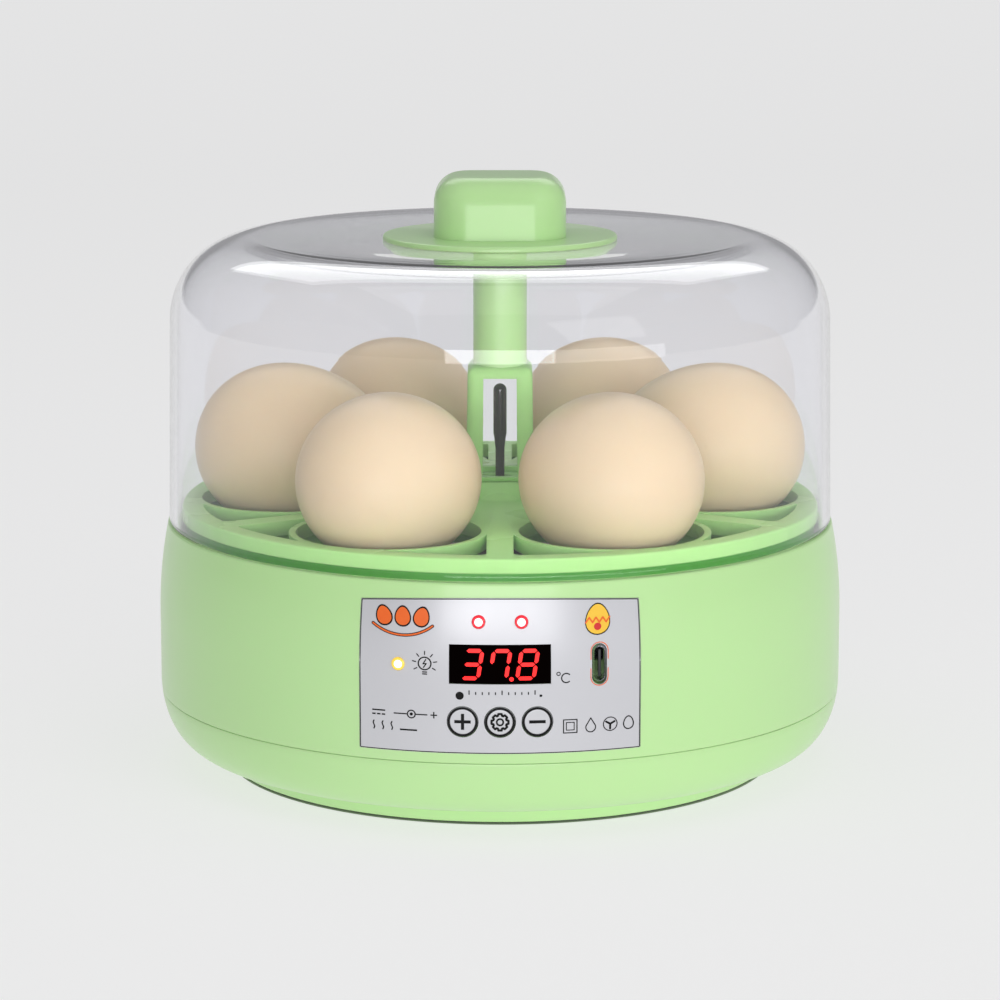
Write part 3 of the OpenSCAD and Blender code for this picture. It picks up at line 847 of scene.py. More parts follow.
@dataclass
class Wall:
    """The outer wall of the base: a straight band, a bottom curve and a lean in to the lip."""

    radius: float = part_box("base_shell")[1].x
    lip_radius: float = 0.0875
    lip_height: float = 0.0646
    straight_height: float = 0.041
    curve_height: float = 0.023
    curve_radius: float = 0.0794
    curve_low: float = 0.0056
    seam_height: float = 0.0201
    thickness: float = 0.0026
    label_half: float = math.radians(22.3)
    label_top: float = 0.0613
    corner_drop: float = 0.00135

    def at(self, height: float) -> float:
        """The wall's radius at a height above the bottom curve.

        Args:
            height: The height.

        Returns:
            The radius.
        """
        if height < self.straight_height:
            return self.radius
        share = (height - self.straight_height) / (self.lip_height - self.straight_height)
        return self.radius - (self.radius - self.lip_radius) * share ** 2

    def curve(self, low: float, high: float, steps: int) -> list[Point]:
        """Points of the bottom curve between two heights, from the lower to the higher.

        Args:
            low: The lower height.
            high: The upper height.
            steps: How many steps lie between.

        Returns:
            Radius and height of each point.
        """
        drop = self.curve_height - self.curve_low
        angles = [math.acos(max(-1.0, min(1.0, (self.curve_height - z) / drop))) for z in (low, high)]
        turns = [angles[0] + (angles[1] - angles[0]) * k / steps for k in range(steps + 1)]
        width = self.radius - self.curve_radius
        return [(self.curve_radius + width * math.sin(t), self.curve_height - drop * math.cos(t))
                for t in turns]

    def sunk(self, turn: float, height: float) -> float:
        """How far the label's edge sinks at a place: most at its corners.

        Args:
            turn: Angle from the front, in radians.
            height: Height on the wall.

        Returns:
            The drop in height.
        """
        side = min(abs(turn) / self.label_half, 1.0)
        fade = max(0.0, 1 - max(0.0, abs(turn) - self.label_half) / math.radians(9))
        above = max(0.0, min(1.0, (height - self.straight_height) / (self.label_top - self.straight_height)))
        end = self.lip_height - 0.0008
        rest = max(0.0, min(1.0, (end - height) / (end - self.label_top)))
        return self.corner_drop * side ** 2 * fade * above ** 2 * rest

    def sink(self, piece: Piece) -> None:
        """Lets the outer wall's rows of points follow the label's edge.

        Args:
            piece: The piece.
        """
        def down(point: Vector) -> Place:
            """A point's place once its row follows the label's edge.

            Args:
                point: The point.

            Returns:
                Its new place.
            """
            radius, turn = math.hypot(point.x, point.y), math.atan2(point.x, -point.y)
            if radius < self.at(point.z) - 0.001 or point.z < self.straight_height:
                return tuple(point)
            height = point.z - self.sunk(turn, point.z)
            grown = radius + self.at(height) - self.at(point.z)
            return grown * math.sin(turn), -grown * math.cos(turn), height

        Bench.shape(piece, down)

    def wrap(self, piece: Piece) -> None:
        """Bends a piece drawn in front of the X-Z plane onto the wall.

        A point's distance in front of the plane becomes its distance outside the wall.

        Args:
            piece: The piece.
        """
        def onto(point: Vector) -> Place:
            """A point's place on the wall."""
            radius = self.at(point.z) - point.y
            return point.x, -math.sqrt(radius ** 2 - point.x ** 2), point.z

        Bench.shape(piece, onto)


@dataclass
class Base:
    """The two casing shells with the rubber feet and what they hold inside."""

    wall: Wall
    steps: int = 192
    bore: float = 0.0842
    edge: float = 0.0007
    seam_gap: float = 0.00005
    label_angle: float = math.radians(22.5)
    label_low: float = 0.0227
    label_high: float = 0.0613
    label_depth: float = 0.0005
    foot_radius: float = 0.0726
    foot_lift: float = 0.0005
    pad_ring: float = 0.0641
    pad_radius: float = 0.0055
    screw_ring: float = 0.040

    def upper_profile(self) -> list[Point]:
        """The upper casing's section: outer wall, lip, bore, shelf and inner wall.

        Returns:
            Radius and height of each point.
        """
        wall = self.wall
        low = wall.seam_height + self.seam_gap
        inner = wall.radius - wall.thickness
        shelf_in, shelf_top, shelf_low = 0.081, 0.044, 0.0414
        outer = wall.curve(low + 0.0002, wall.curve_height, 3)
        outer[0:0] = [(outer[0][0] - 0.0003, low)]
        band_steps, lean_steps = 3, 9
        top = wall.lip_height - self.edge
        heights = [self.label_low + (wall.straight_height - self.label_low) * k / band_steps
                   for k in range(1, band_steps + 1)]
        heights += [wall.straight_height + (self.label_high - wall.straight_height) * k / lean_steps
                    for k in range(1, lean_steps + 1)]
        outer += [(wall.at(z), z) for z in heights] + [(wall.at(top), top)]
        outer += arc((wall.at(top) - self.edge, top), self.edge, 15, 90, 5)
        rim, round_off = wall.lip_height, 0.0003
        return outer + [
            (self.bore + round_off, rim), (self.bore, rim - round_off), (self.bore, shelf_top + round_off),
            (self.bore - round_off, shelf_top), (shelf_in, shelf_top), (shelf_in, shelf_low),
            (inner, shelf_low - 0.004), (inner, low)]

    def in_label(self, face: Face) -> bool:
        """True for a face of the outer wall that lies under the label.

        Args:
            face: The face.

        Returns:
            True if it does.
        """
        x, y, z = face.center
        turn = abs(math.atan2(x, -y))
        outside = math.hypot(x, y) > self.wall.at(z) - 0.0006
        return outside and turn < self.label_angle and self.label_low < z < self.label_high

    def upper_casing(self) -> None:
        """Turns the upper casing and sinks the recess for the label into it."""
        profile = self.upper_profile()
        piece = Bench.turned("upper_casing", profile, self.steps)
        Bench.pick_faces(piece, self.in_label)
        bpy.ops.mesh.extrude_region_shrink_fatten(TRANSFORM_OT_shrink_fatten={"value": -self.label_depth})
        Bench.close()
        self.wall.sink(piece)
        panel = Panel(self.wall)
        cutters = [Bench.rod("cutter", radius, (x, -0.095, z), (x, -0.080, z), 40)
                   for x, z, radius in panel.round_openings()]
        width, height = panel.display_size
        cutters.append(Bench.block("cutter", (-width / 2, -0.095, panel.display_z - height / 2),
                                   (width / 2, -0.080, panel.display_z + height / 2)))
        cutters.append(Panel.slot(*panel.socket, panel.socket_size, 0.00015, -0.095, -0.080))
        Bench.cut(piece, Bench.joined("cutters", cutters))
        Bench.smooth(piece, 28)
        show(piece, Body.BASE, "green_casing", ["base_shell"])

    def lower_profile(self) -> list[Point]:
        """The lower casing's section: foot ring, bottom curve, seam, inner lip and floor.

        Returns:
            Radius and height of each point.
        """
        wall = self.wall
        top = wall.seam_height
        curve = wall.curve(wall.curve_low, top - 0.0003, 16)
        inner = wall.radius - wall.thickness
        floor_top = wall.curve_low + 0.0024
        foot = self.foot_radius
        return [(0.0, wall.curve_low), (foot - 0.005, wall.curve_low),
                (foot - 0.005, self.foot_lift + 0.0004), (foot - 0.0046, self.foot_lift),
                (foot - 0.0009, self.foot_lift), (foot - 0.0002, self.foot_lift + 0.0003),
                (foot + 0.0001, self.foot_lift + 0.0009), (foot + 0.0009, wall.curve_low - 0.0004),
                (foot + 0.0014, wall.curve_low)] + curve + [
            (curve[-1][0] - 0.0001, top), (inner - 0.0003, top), (inner - 0.0003, top + 0.002),
            (inner - 0.0016, top + 0.002), (inner - 0.0022, top), (inner - 0.0055, 0.013),
            (inner - 0.011, floor_top), (0.0, floor_top)]

    def lower_casing(self) -> None:
        """Turns the lower casing and cuts the air inlets, screw pockets and foot pockets into it."""
        piece = Bench.turned("lower_casing", self.lower_profile(), self.steps, ring=False)
        feet = [self.around(k, self.pad_ring, 45) for k in range(4)]
        screws = [self.around(k, self.screw_ring, 0) for k in range(4)]
        pads = [Bench.rod("pad", self.pad_radius + 0.0018, (*foot, self.foot_lift), (*foot, 0.0066), 48)
                for foot in feet]
        for pad in pads:
            Bench.modify(piece, "BOOLEAN", operation="UNION", solver="EXACT", object=pad)
            bpy.data.objects.remove(pad)
        cutters = [Bench.rod("cutter", 0.0033, (*screw, -0.001), (*screw, 0.0086), 32) for screw in screws]
        cutters += [Bench.rod("cutter", self.pad_radius + 0.0001, (*foot, -0.001), (*foot, 0.0021), 48)
                    for foot in feet]
        slot = Bench.block("cutter", (0.012, -0.0013, 0.0), (0.026, 0.0013, 0.012))
        Bench.soften(slot, 0.0012, 4)
        slots = [Bench.copied(slot, "slot", FULL_TURN * k / 12) for k in range(12)]
        bpy.data.objects.remove(slot)
        Bench.cut(piece, Bench.joined("cutters", cutters + slots))
        Bench.smooth(piece, 28)
        show(piece, Body.BASE, "green_casing", ["bottom_shell"])

    @staticmethod
    def around(index: int, ring: float, first: float, count: int = 4) -> Point:
        """The place of one of several points on a ring."""
        turn = math.radians(first + 360 * index / count)
        return ring * math.cos(turn), ring * math.sin(turn)

    def feet(self) -> None:
        """Turns the four rubber feet."""
        radius = self.pad_radius
        profile = [(0.0, 0.0), (radius - 0.0009, 0.0), (radius - 0.0003, 0.0003), (radius, 0.0009),
                   (radius, self.foot_lift + 0.0011), (0.0, self.foot_lift + 0.0011)]
        pads = [Bench.turned("foot", profile, 48, ring=False, centre=self.around(k, self.pad_ring, 45))
                for k in range(4)]
        piece = Bench.joined("feet", pads)
        Bench.smooth(piece, 40)
        show(piece, Body.BASE, "foot_rubber", ["rubber_feet"])

    def pan(self) -> None:
        """Turns the inner pan with its water trough and sets its flat front, ribs and posts."""
        shelf, deck, rim, trough = 0.044, 0.046, 0.060, 0.036
        lip, round_off = 0.002, 0.0006
        profile = [(0.0235, shelf), (0.044, shelf), (0.044, trough), (0.072, trough), (0.072, shelf),
                   (0.0839, shelf), (0.0839, rim - round_off), (0.0839 - round_off, rim),
                   (0.0819 + round_off, rim), (0.0819, rim - round_off), (0.0819, deck + 0.0012),
                   (0.0816, deck + 0.0004), (0.0808, deck), (0.0708, deck), (0.0702, deck - 0.0004),
                   (0.070, deck - 0.001), (0.070, trough + lip + 0.002), (0.0688, trough + lip + 0.0006),
                   (0.067, trough + lip), (0.049, trough + lip), (0.0472, trough + lip + 0.0006),
                   (0.046, trough + lip + 0.002), (0.046, deck - 0.001), (0.0458, deck - 0.0004),
                   (0.0452, deck), (0.0239, deck), (0.0235, deck - 0.0004)]
        piece = Bench.turned("inner_pan_moulding", profile, 160)
        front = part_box("inner_pan")[0].y
        Bench.cut(piece, Bench.block("cutter", (-0.1, -0.1, 0), (0.1, front, 0.1)))
        half = math.sqrt(0.0829 ** 2 - front ** 2)
        parts = [piece, Bench.block("front_wall", (-half, front, shelf), (half, front + lip, rim - 0.0001))]
        for k in range(3):
            rib = Bench.block("rib", (0.0458, -0.001, trough + 0.0012), (0.0702, 0.001, deck - 0.002))
            parts.append(Bench.copied(rib, "trough_rib", math.radians(90 + 120 * k)))
            bpy.data.objects.remove(rib)
        parts += [Bench.rod("post", 0.0034, (*self.around(k, self.screw_ring, 0), 0.0139),
                            (*self.around(k, self.screw_ring, 0), shelf + 0.0005), 32) for k in range(4)]
        piece = Bench.joined("inner_pan_moulding", parts)
        Bench.smooth(piece, 30)
        show(piece, Body.BASE, "green_inside", ["inner_pan"])

    def build(self) -> None:
        """Builds the base."""
        self.upper_casing()
        self.lower_casing()
        self.feet()
        self.pan()


# ---- control panel


class Ink(Enum):
    """The inks printed on the label."""

    BLACK = "ink_black"
    ORANGE = "ink_orange"
    YELLOW = "ink_yellow"
    RED = "ink_red"


@dataclass
class Print:
    """Flat printed shapes in front of the X-Z plane, gathered by ink."""

    lift: float = 0.00004
    shapes: dict[str, list[Piece]] = field(default_factory=dict)

    def keep(self, ink: str, piece: Piece) -> Piece:
        """Files a shape under its ink."""
        self.shapes.setdefault(ink, []).append(piece)
        return piece

    def disc(self, ink: str, x: float, z: float, radius: float, sides: int = 32,
             turn: float = 0.0) -> Piece:
        """A filled circle, or a polygon with few sides.

        Args:
            ink: Its ink.
            x: Its place across.
            z: Its height.
            radius: Its radius.
            sides: How many sides it has.
            turn: Its turn, in radians.

        Returns:
            The disc.
        """
        Bench.clear()
        bpy.ops.mesh.primitive_circle_add(vertices=sides, radius=radius, fill_type="NGON",
                                          location=(x, -self.lift, z), rotation=(math.pi / 2, turn, 0))
        return self.keep(ink, Bench.take("disc"))

    def ring(self, ink: str, x: float, z: float, radius: float, width: float, sides: int = 48,
             turn: float = 0.0) -> None:
        """A circle's line of that width, inside its radius.

        Args:
            ink: Its ink.
            x: Its place across.
            z: Its height.
            radius: Its radius.
            width: The line's width.
            sides: How many sides it has.
            turn: Its turn, in radians.
        """
        Bench.edit(self.disc(ink, x, z, radius, sides, turn))
        bpy.ops.mesh.select_mode(type="FACE")
        bpy.ops.mesh.inset(thickness=width, use_even_offset=True)
        bpy.ops.mesh.delete(type="FACE")
        Bench.close()

    def bar(self, ink: str, start: Point, end: Point, width: float) -> None:
        """A straight line of that width from one point to another.

        Args:
            ink: Its ink.
            start: Where it starts.
            end: Where it ends.
            width: The line's width.
        """
        Bench.clear()
        run = (end[0] - start[0], end[1] - start[1])
        centre = ((start[0] + end[0]) / 2, -self.lift, (start[1] + end[1]) / 2)
        bpy.ops.mesh.primitive_plane_add(size=1, location=centre, scale=(1, 1, 1),
                                         rotation=(math.pi / 2, -math.atan2(run[1], run[0]), 0))
        piece = bpy.context.active_object
        piece.scale = (math.hypot(*run), width, 1)
        self.keep(ink, Bench.take("bar"))

    def line(self, ink: str, points: Sequence[Point], width: float) -> None:
        """A bent line of that width with round corners and ends.

        Args:
            ink: Its ink.
            points: Its points, in order.
            width: The line's width.
        """
        for start, end in zip(points[:-1], points[1:]):
            self.bar(ink, start, end, width)
        for point in points:
            self.disc(ink, *point, width / 2, 12)

    def patch(self, ink: str, points: Sequence[Point]) -> None:
        """A filled outline.

        Args:
            ink: Its ink.
            points: Its points, in order.
        """
        piece = Bench.outline("patch", [(x, -self.lift, z) for x, z in points], ring=True)
        Bench.edit(piece)
        bpy.ops.mesh.edge_face_add()
        Bench.close()
        self.keep(ink, piece)

    def finish(self, name: str, wall: Wall, body: Body, slot: str) -> None:
        """Joins each ink's shapes, turns them to the front and lays them on the wall.

        Args:
            name: What the pieces' names begin with.
            wall: The wall it lies on.
            body: The body it rides on.
            slot: Not used.
        """
        for ink, parts in self.shapes.items():
            piece = Bench.joined(f"{name}_{ink}", parts)
            Bench.edit(piece)
            bpy.ops.mesh.normals_make_consistent(inside=False)
            Bench.close()
            Bench.pick_faces(piece, lambda face: face.normal.y > 0)
            bpy.ops.mesh.flip_normals()
            Bench.close()
            wall.wrap(piece)
            show(piece, body, ink)


@dataclass
class Panel:
    """The label with its openings, window, digits, lamps, keys, print and power socket."""

    wall: Wall
    film: float = 0.0004
    display_size: Point = (0.0249, 0.0098)
    display_z: float = 0.0451
    key_z: float = 0.0308
    key_step: float = 0.0091
    key_radius: float = 0.0037
    alarm: Point = (0.0052, 0.0555)
    lamp: Point = (-0.0248, 0.0446)
    lamp_radius: float = 0.0016
    socket: Point = (0.0242, 0.0446)
    socket_size: Point = (0.0035, 0.0100)

    def round_openings(self) -> list[Place]:
        """Place and radius of each round opening through the casing's front.

        Returns:
            Place across, height and radius of each.
        """
        key_hole, lamp_hole = self.key_radius + 0.0002, self.lamp_radius + 0.0001
        keys = [(self.key_step * k, self.key_z, key_hole) for k in (-1, 0, 1)]
        lamps = [(self.alarm[0] * side, self.alarm[1], lamp_hole) for side in (-1, 1)]
        return keys + lamps + [(*self.lamp, lamp_hole)]

    @staticmethod
    def sheet(name: str, cuts: tuple[int, int], place: Place, size: Point, depth: float) -> Piece:
        """An upright flat sheet that is cut fine enough to bend.

        Args:
            name: The piece's name.
            cuts: How many steps it has across and up.
            place: Where its front's middle lies.
            size: Its width and height.
            depth: How thick it is.

        Returns:
            The sheet.
        """
        Bench.clear()
        bpy.ops.mesh.primitive_grid_add(x_subdivisions=cuts[0], y_subdivisions=cuts[1], size=1,
                                        location=place, rotation=(math.pi / 2, 0, 0))
        bpy.context.active_object.scale = (*size, 1)
        piece = Bench.take(name)
        Bench.edit(piece)
        bpy.ops.mesh.extrude_region_move(TRANSFORM_OT_translate={"value": (0, depth, 0)})
        Bench.close()
        Bench.tidy(piece)
        return piece

    def label(self) -> None:
        """Cuts the label from a sheet and lays it in its recess."""
        gap = 0.00012
        base = Base(self.wall)
        half = self.wall.radius * base.label_angle - gap
        low, high = base.label_low + gap, base.label_high - gap
        piece = self.sheet("control_film", (56, 30), (0, 0, (low + high) / 2),
                           (2 * half, high - low), self.film)
        spots = [(self.unrolled(x, z), z, radius) for x, z, radius in self.round_openings()]
        cutters = [Bench.rod("cutter", radius, (x, -0.01, z), (x, 0.01, z), 48) for x, z, radius in spots]
        width, height = self.display_size
        cutters.append(Bench.block("cutter", (-width / 2, -0.01, self.display_z - height / 2),
                                   (width / 2, 0.01, self.display_z + height / 2)))
        cutters.append(self.slot(self.unrolled(*self.socket), self.socket[1], self.socket_size, 0.00015,
                                 -0.01, 0.01))
        Bench.cut(piece, Bench.joined("cutters", cutters))

        def roll(point: Vector) -> Place:
            """A point's place once the flat sheet is rolled on.

            Args:
                point: The point.

            Returns:
                Its new place.
            """
            turn = point.x / self.wall.radius
            height = point.z - self.wall.sunk(turn, point.z)
            radius = self.wall.at(height) - point.y
            return radius * math.sin(turn), -radius * math.cos(turn), height

        Bench.shape(piece, roll)
        Bench.smooth(piece, 25)
        show(piece, Body.BASE, "silver_film", ["control_label"])

    def unrolled(self, x: float, z: float) -> float:
        """Where a point of the wall lies across the flat sheet."""
        return self.wall.radius * math.asin(x / self.wall.at(z))

    @staticmethod
    def slot(x: float, z: float, size: Point, grow: float, front: float, back: float) -> Piece:
        """An upright bar with round ends, along Y.

        Args:
            x: Its middle across the front.
            z: Its height.
            size: Its width and height.
            grow: How much wider it gets on every side.
            front: Where its front lies.
            back: Where its back lies.

        Returns:
            The bar.
        """
        width, height = size[0] + 2 * grow, size[1] + 2 * grow
        piece = Bench.block("slot", (x - width / 2, front, z - height / 2),
                            (x + width / 2, back, z + height / 2))
        Bench.round_along(piece, 1, (back - front) / 2, width / 2 * 0.998, 12)
        return piece

    def window(self) -> None:
        """Sets the smoked display window, flush in the label."""
        width, height = self.display_size
        gap = 0.0001
        piece = self.sheet("smoked_display_window", (24, 8), (0, 0.0001, self.display_z),
                           (width - 2 * gap, height - 2 * gap), 0.003)
        self.wall.wrap(piece)
        Bench.smooth(piece, 30)
        show(piece, Body.BASE, "smoked_window", ["display_window"])

    def digits(self) -> None:
        """Lays the three lit seven-segment digits and the point over the window."""
        lit = {"3": "ABCDG", "7": "ABCF", "8": "ABCDEFG"}
        stroke, high, wide = 0.00095, 0.0034, 0.0040
        slant = math.tan(math.radians(9))
        sheet = Print(lift=0.00002)

        def spot(x: float, across: float, up: float) -> Point:
            """A point of a slanted digit whose middle is at x."""
            return x + across + slant * up, self.display_z + up

        def segment(x: float, start: Point, end: Point) -> None:
            """Lays one segment with pointed ends between two corners of a digit.

            Args:
                x: The digit's middle.
                start: One corner.
                end: The other corner.
            """
            run = Vector((end[0] - start[0], end[1] - start[1])).normalized()
            side = Vector((-run.y, run.x)) * stroke / 2
            tip = run * stroke / 2
            a, b = Vector(start) + run * 0.0002, Vector(end) - run * 0.0002
            corners = (a, a + tip + side, b - tip + side, b, b - tip - side, a + tip - side)
            sheet.patch("red_segments", [spot(x, c.x, c.y) for c in corners])

        half = wide / 2
        for x, digit in ((-0.0068, "3"), (0.0, "7"), (0.0067, "8")):
            places = {
                "A": ((-half, high), (half, high)), "B": ((half, high), (half, 0)),
                "C": ((half, 0), (half, -high)), "D": ((-half, -high), (half, -high)),
                "E": ((-half, 0), (-half, -high)), "F": ((-half, high), (-half, 0)),
                "G": ((-half, 0), (half, 0))}
            for name in lit[digit]:
                segment(x, *places[name])
        sheet.disc("red_segments", 0.0028, self.display_z - high - 0.0002, 0.00055, 20)
        sheet.finish("display", self.wall, Body.BASE, "display_smoke")

    def dome_lamp(self, name: str, x: float, z: float, ring: str, slot: str, nodes: Sequence[str]) -> None:
        """A lamp with a coloured rim and a pale lit core.

        Args:
            name: What its pieces' names begin with.
            x: Its place across.
            z: Its height.
            ring: The rim's finish.
            slot: Not used.
            nodes: The frame's nodes that it stands for.
        """
        radius = self.lamp_radius
        profile = [(0.0, 0.0004), (radius * 0.55, 0.00036), (radius * 0.62, 0.0003)]
        parts = {"core": (profile + [(radius * 0.62, -0.003), (0.0, -0.003)], "white_lamp_core", ()),
                 "rim": ([(radius * 0.62, 0.0003), (radius * 0.8, 0.00034), (radius * 0.95, 0.00022),
                          (radius, 0.0), (radius, -0.003), (radius * 0.62, -0.003)], ring, nodes)}
        for part, (outline, paint, replaced) in parts.items():
            piece = Bench.turned(f"{name}_{part}", outline, 48, ring=part == "rim")
            Bench.shape(piece, lambda p: (p.x + x, -p.z - 0.0001, p.y + z))
            self.wall.wrap(piece)
            Bench.tidy(piece)
            Bench.smooth(piece, 40)
            show(piece, Body.BASE, paint, replaced)

    def lamps(self) -> None:
        """Sets the two alarm lamps and the lamp indicator."""
        x, z = self.alarm
        self.dome_lamp("alarm_lamp_left", -x, z, "red_lamp_ring", "red_lamp", ["alarm_lamps"])
        self.dome_lamp("alarm_lamp_right", x, z, "red_lamp_ring", "red_lamp", [])
        self.dome_lamp("amber_lamp", *self.lamp, "amber_lamp_ring", "amber_lamp", ["lamp_indicator"])

    def keys(self) -> None:
        """Makes the three round keys with their printed rings and signs."""
        signs = {Body.KEY_PLUS: -1, Body.KEY_SET: 0, Body.KEY_MINUS: 1}
        radius = self.key_radius
        for body, place in signs.items():
            x = place * self.key_step
            profile = [(0.0, 0.0), (radius * 0.35, 0.0), (radius * 0.7, 0.0), (radius - 0.00025, 0.0),
                       (radius - 0.00007, -0.00007), (radius, -0.00025), (radius, -0.0046), (0.0044, -0.0046),
                       (0.0044, -0.0055), (0.0018, -0.0055), (0.0018, -0.0066), (0.0, -0.0066)]
            piece = Bench.turned(f"{body.value}_cap", profile, 64, ring=False)
            Bench.shape(piece, lambda p, x=x: (p.x + x, -p.z, p.y + self.key_z))
            self.wall_front(piece)
            Bench.tidy(piece)
            Bench.smooth(piece, 35)
            show(piece, body, "silver_film", [body.value])
            sheet = Print()
            sheet.ring(Ink.BLACK.value, x, self.key_z, radius - 0.00005, 0.00058, 64)
            self.sign(sheet, body, x, self.key_z)
            sheet.finish(f"{body.value}_print", self.wall, body, "label_silver")

    def wall_front(self, piece: Piece) -> None:
        """Curves only the front of a key to the wall, and leaves what is behind it flat.

        Args:
            piece: The piece.
        """
        flat_from = 0.003

        def onto(point: Vector) -> Place:
            """A point's place, bent with the wall near the front and less behind it.

            Args:
                point: The point.

            Returns:
                Its new place.
            """
            radius = self.wall.at(self.key_z)
            front = -math.sqrt(radius ** 2 - point.x ** 2)
            share = max(0.0, 1 - point.y / flat_from)
            return point.x, -radius + point.y + (front + radius) * min(1.0, share), point.z

        Bench.shape(piece, onto)

    @staticmethod
    def sign(sheet: Print, body: Body, x: float, z: float) -> None:
        """Prints a key's sign: plus, minus or a cog.

        Args:
            sheet: The print.
            body: The key.
            x: Its place across.
            z: Its height.
        """
        ink = Ink.BLACK.value
        arm, width = 0.0020, 0.00078
        if body is not Body.KEY_SET:
            sheet.bar(ink, (x - arm, z), (x + arm, z), width)
        if body is Body.KEY_PLUS:
            sheet.bar(ink, (x, z - arm), (x, z + arm), width)
        if body is Body.KEY_SET:
            teeth, outer, inner = 8, 0.0021, 0.00168
            points = []
            for k in range(teeth):
                middle = FULL_TURN * k / teeth
                for turn, radius in ((-0.3, inner), (-0.19, outer), (0.19, outer), (0.3, inner)):
                    points.append((radius * math.cos(middle + turn), radius * math.sin(middle + turn)))
            points.append(points[0])
            sheet.line(ink, [(x + a, z + b) for a, b in points], 0.00055)
            sheet.ring(ink, x, z, 0.00102, 0.00045, 32)

    def socket_parts(self) -> None:
        """Makes the socket's metal shell and its tongue."""
        x, z = self.socket
        low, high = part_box("usb_socket")
        shell = self.slot(x, z, self.socket_size, 0, low.y - 0.0001, high.y)
        bore = self.slot(x, z, (0.0026, 0.0084), 0, low.y - 0.001, high.y - 0.001)
        Bench.cut(shell, bore)
        shell.name = "socket_shell"
        Bench.soften(shell, 0.00018, 2, 50)
        Bench.smooth(shell, 40)
        show(shell, Body.BASE, "plated_steel", ["usb_socket"])
        low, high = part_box("usb_tongue")
        tongue = Bench.block("socket_tongue", low, high)
        Bench.soften(tongue, 0.00015, 2)
        Bench.smooth(tongue, 40)
        show(tongue, Body.BASE, "black_satin", ["usb_tongue"])

    def print_label(self) -> None:
        """Prints the label: signs and pictures that name nothing."""
        sheet = Print()
        self.frame_line(sheet)
        self.bulb(sheet, -0.0183, 0.0447)
        self.degree_sign(sheet, 0.0154, 0.0415)
        self.egg_row(sheet, -0.0236, 0.0560)
        self.chick_egg(sheet, 0.0237, 0.0556)
        self.thermometer(sheet, 0.0, 0.0373)
        self.supply_signs(sheet, -0.0232, 0.0310)
        self.small_signs(sheet, 0.0175, 0.0294)
        self.socket_line(sheet)
        sheet.finish("label", self.wall, Body.BASE, "label_silver")

    def frame_line(self, sheet: Print) -> None:
        """A thin dark line just inside the label's edge.

        Args:
            sheet: The print.
        """
        base = Base(self.wall)
        ink, width, inset = Ink.BLACK.value, 0.00022, 0.0003
        low, high = base.label_low + inset, base.label_high - inset
        steps = 24

        reach = base.label_angle - inset / self.wall.radius

        def edge_at(turn: float, z: float) -> Point:
            """A point of the line, at an angle from the front."""
            height = z - self.wall.sunk(turn, z)
            return self.wall.at(height) * math.sin(turn), height

        for z in (low, high):
            spots = [edge_at(reach * (2 * k / steps - 1), z) for k in range(steps + 1)]
            for a, b in zip(spots[:-1], spots[1:]):
                sheet.bar(ink, a, b, width)
        for side in (-1, 1):
            for k in range(6):
                a, b = (low + (high - low) * (k + j) / 6 for j in (0, 1))
                sheet.bar(ink, edge_at(side * reach, a), edge_at(side * reach, b), width)

    @staticmethod
    def bulb(sheet: Print, x: float, z: float) -> None:
        """A lamp bulb with a spark and rays.

        Args:
            sheet: The print.
            x: Its place across.
            z: Its height.
        """
        ink = Ink.BLACK.value
        sheet.ring(ink, x, z + 0.0003, 0.0017, 0.00032, 40)
        sheet.line(ink, [(x + 0.0003, z + 0.0013), (x - 0.0004, z + 0.0002), (x + 0.0004, z + 0.0003),
                         (x - 0.0003, z - 0.0007)], 0.00026)
        for k in range(2):
            low = z - 0.0018 - 0.0005 * k
            sheet.bar(ink, (x - 0.0006, low), (x + 0.0006, low), 0.0003)
        for angle in range(-30, 211, 40):
            turn = math.radians(angle)
            a, b = [(x + r * math.cos(turn), z + 0.0003 + r * math.sin(turn)) for r in (0.0022, 0.0030)]
            sheet.line(ink, [a, b], 0.00026)

    @staticmethod
    def degree_sign(sheet: Print, x: float, z: float) -> None:
        """The sign for degrees Celsius.

        Args:
            sheet: The print.
            x: Its place across.
            z: Its height.
        """
        ink = Ink.BLACK.value
        sheet.ring(ink, x - 0.0012, z + 0.0011, 0.00052, 0.00022, 24)
        curve = arc((x + 0.0007, z), 0.00115, 48, 312, 14)
        sheet.line(ink, curve, 0.0003)

    @staticmethod
    def egg_patch(sheet: Print, ink: str, x: float, z: float, size: float, lean: float = 0.0) -> None:
        """A filled egg shape.

        Args:
            sheet: The print.
            ink: Its ink.
            x: Its place across.
            z: Its height.
            size: Its size.
            lean: How far it leans, in radians.
        """
        points = []
        for k in range(24):
            turn = FULL_TURN * k / 24
            across = size * 0.78 * math.cos(turn) * (1 - 0.18 * math.sin(turn))
            up = size * math.sin(turn)
            points.append((x + across * math.cos(lean) - up * math.sin(lean),
                           z + across * math.sin(lean) + up * math.cos(lean)))
        sheet.patch(ink, points)

    def egg_row(self, sheet: Print, x: float, z: float) -> None:
        """A row of three eggs in a nest line, in orange with dark outlines.

        Args:
            sheet: The print.
            x: Its place across.
            z: Its height.
        """
        for place, lean in ((-0.0046, 0.25), (0.0, 0.0), (0.0046, -0.25)):
            self.egg_patch(sheet, Ink.BLACK.value, x + place, z + 0.0003, 0.0026, lean)
        sheet.lift += 0.00002
        for place, lean in ((-0.0046, 0.25), (0.0, 0.0), (0.0046, -0.25)):
            self.egg_patch(sheet, Ink.ORANGE.value, x + place, z + 0.0003, 0.0022, lean)
        sheet.lift -= 0.00002
        curve = arc((x, z + 0.0075), 0.0118, 232, 308, 14)
        sheet.line(Ink.BLACK.value, curve, 0.0008)
        sheet.lift += 0.00002
        sheet.line(Ink.ORANGE.value, curve, 0.0004)
        sheet.lift -= 0.00002

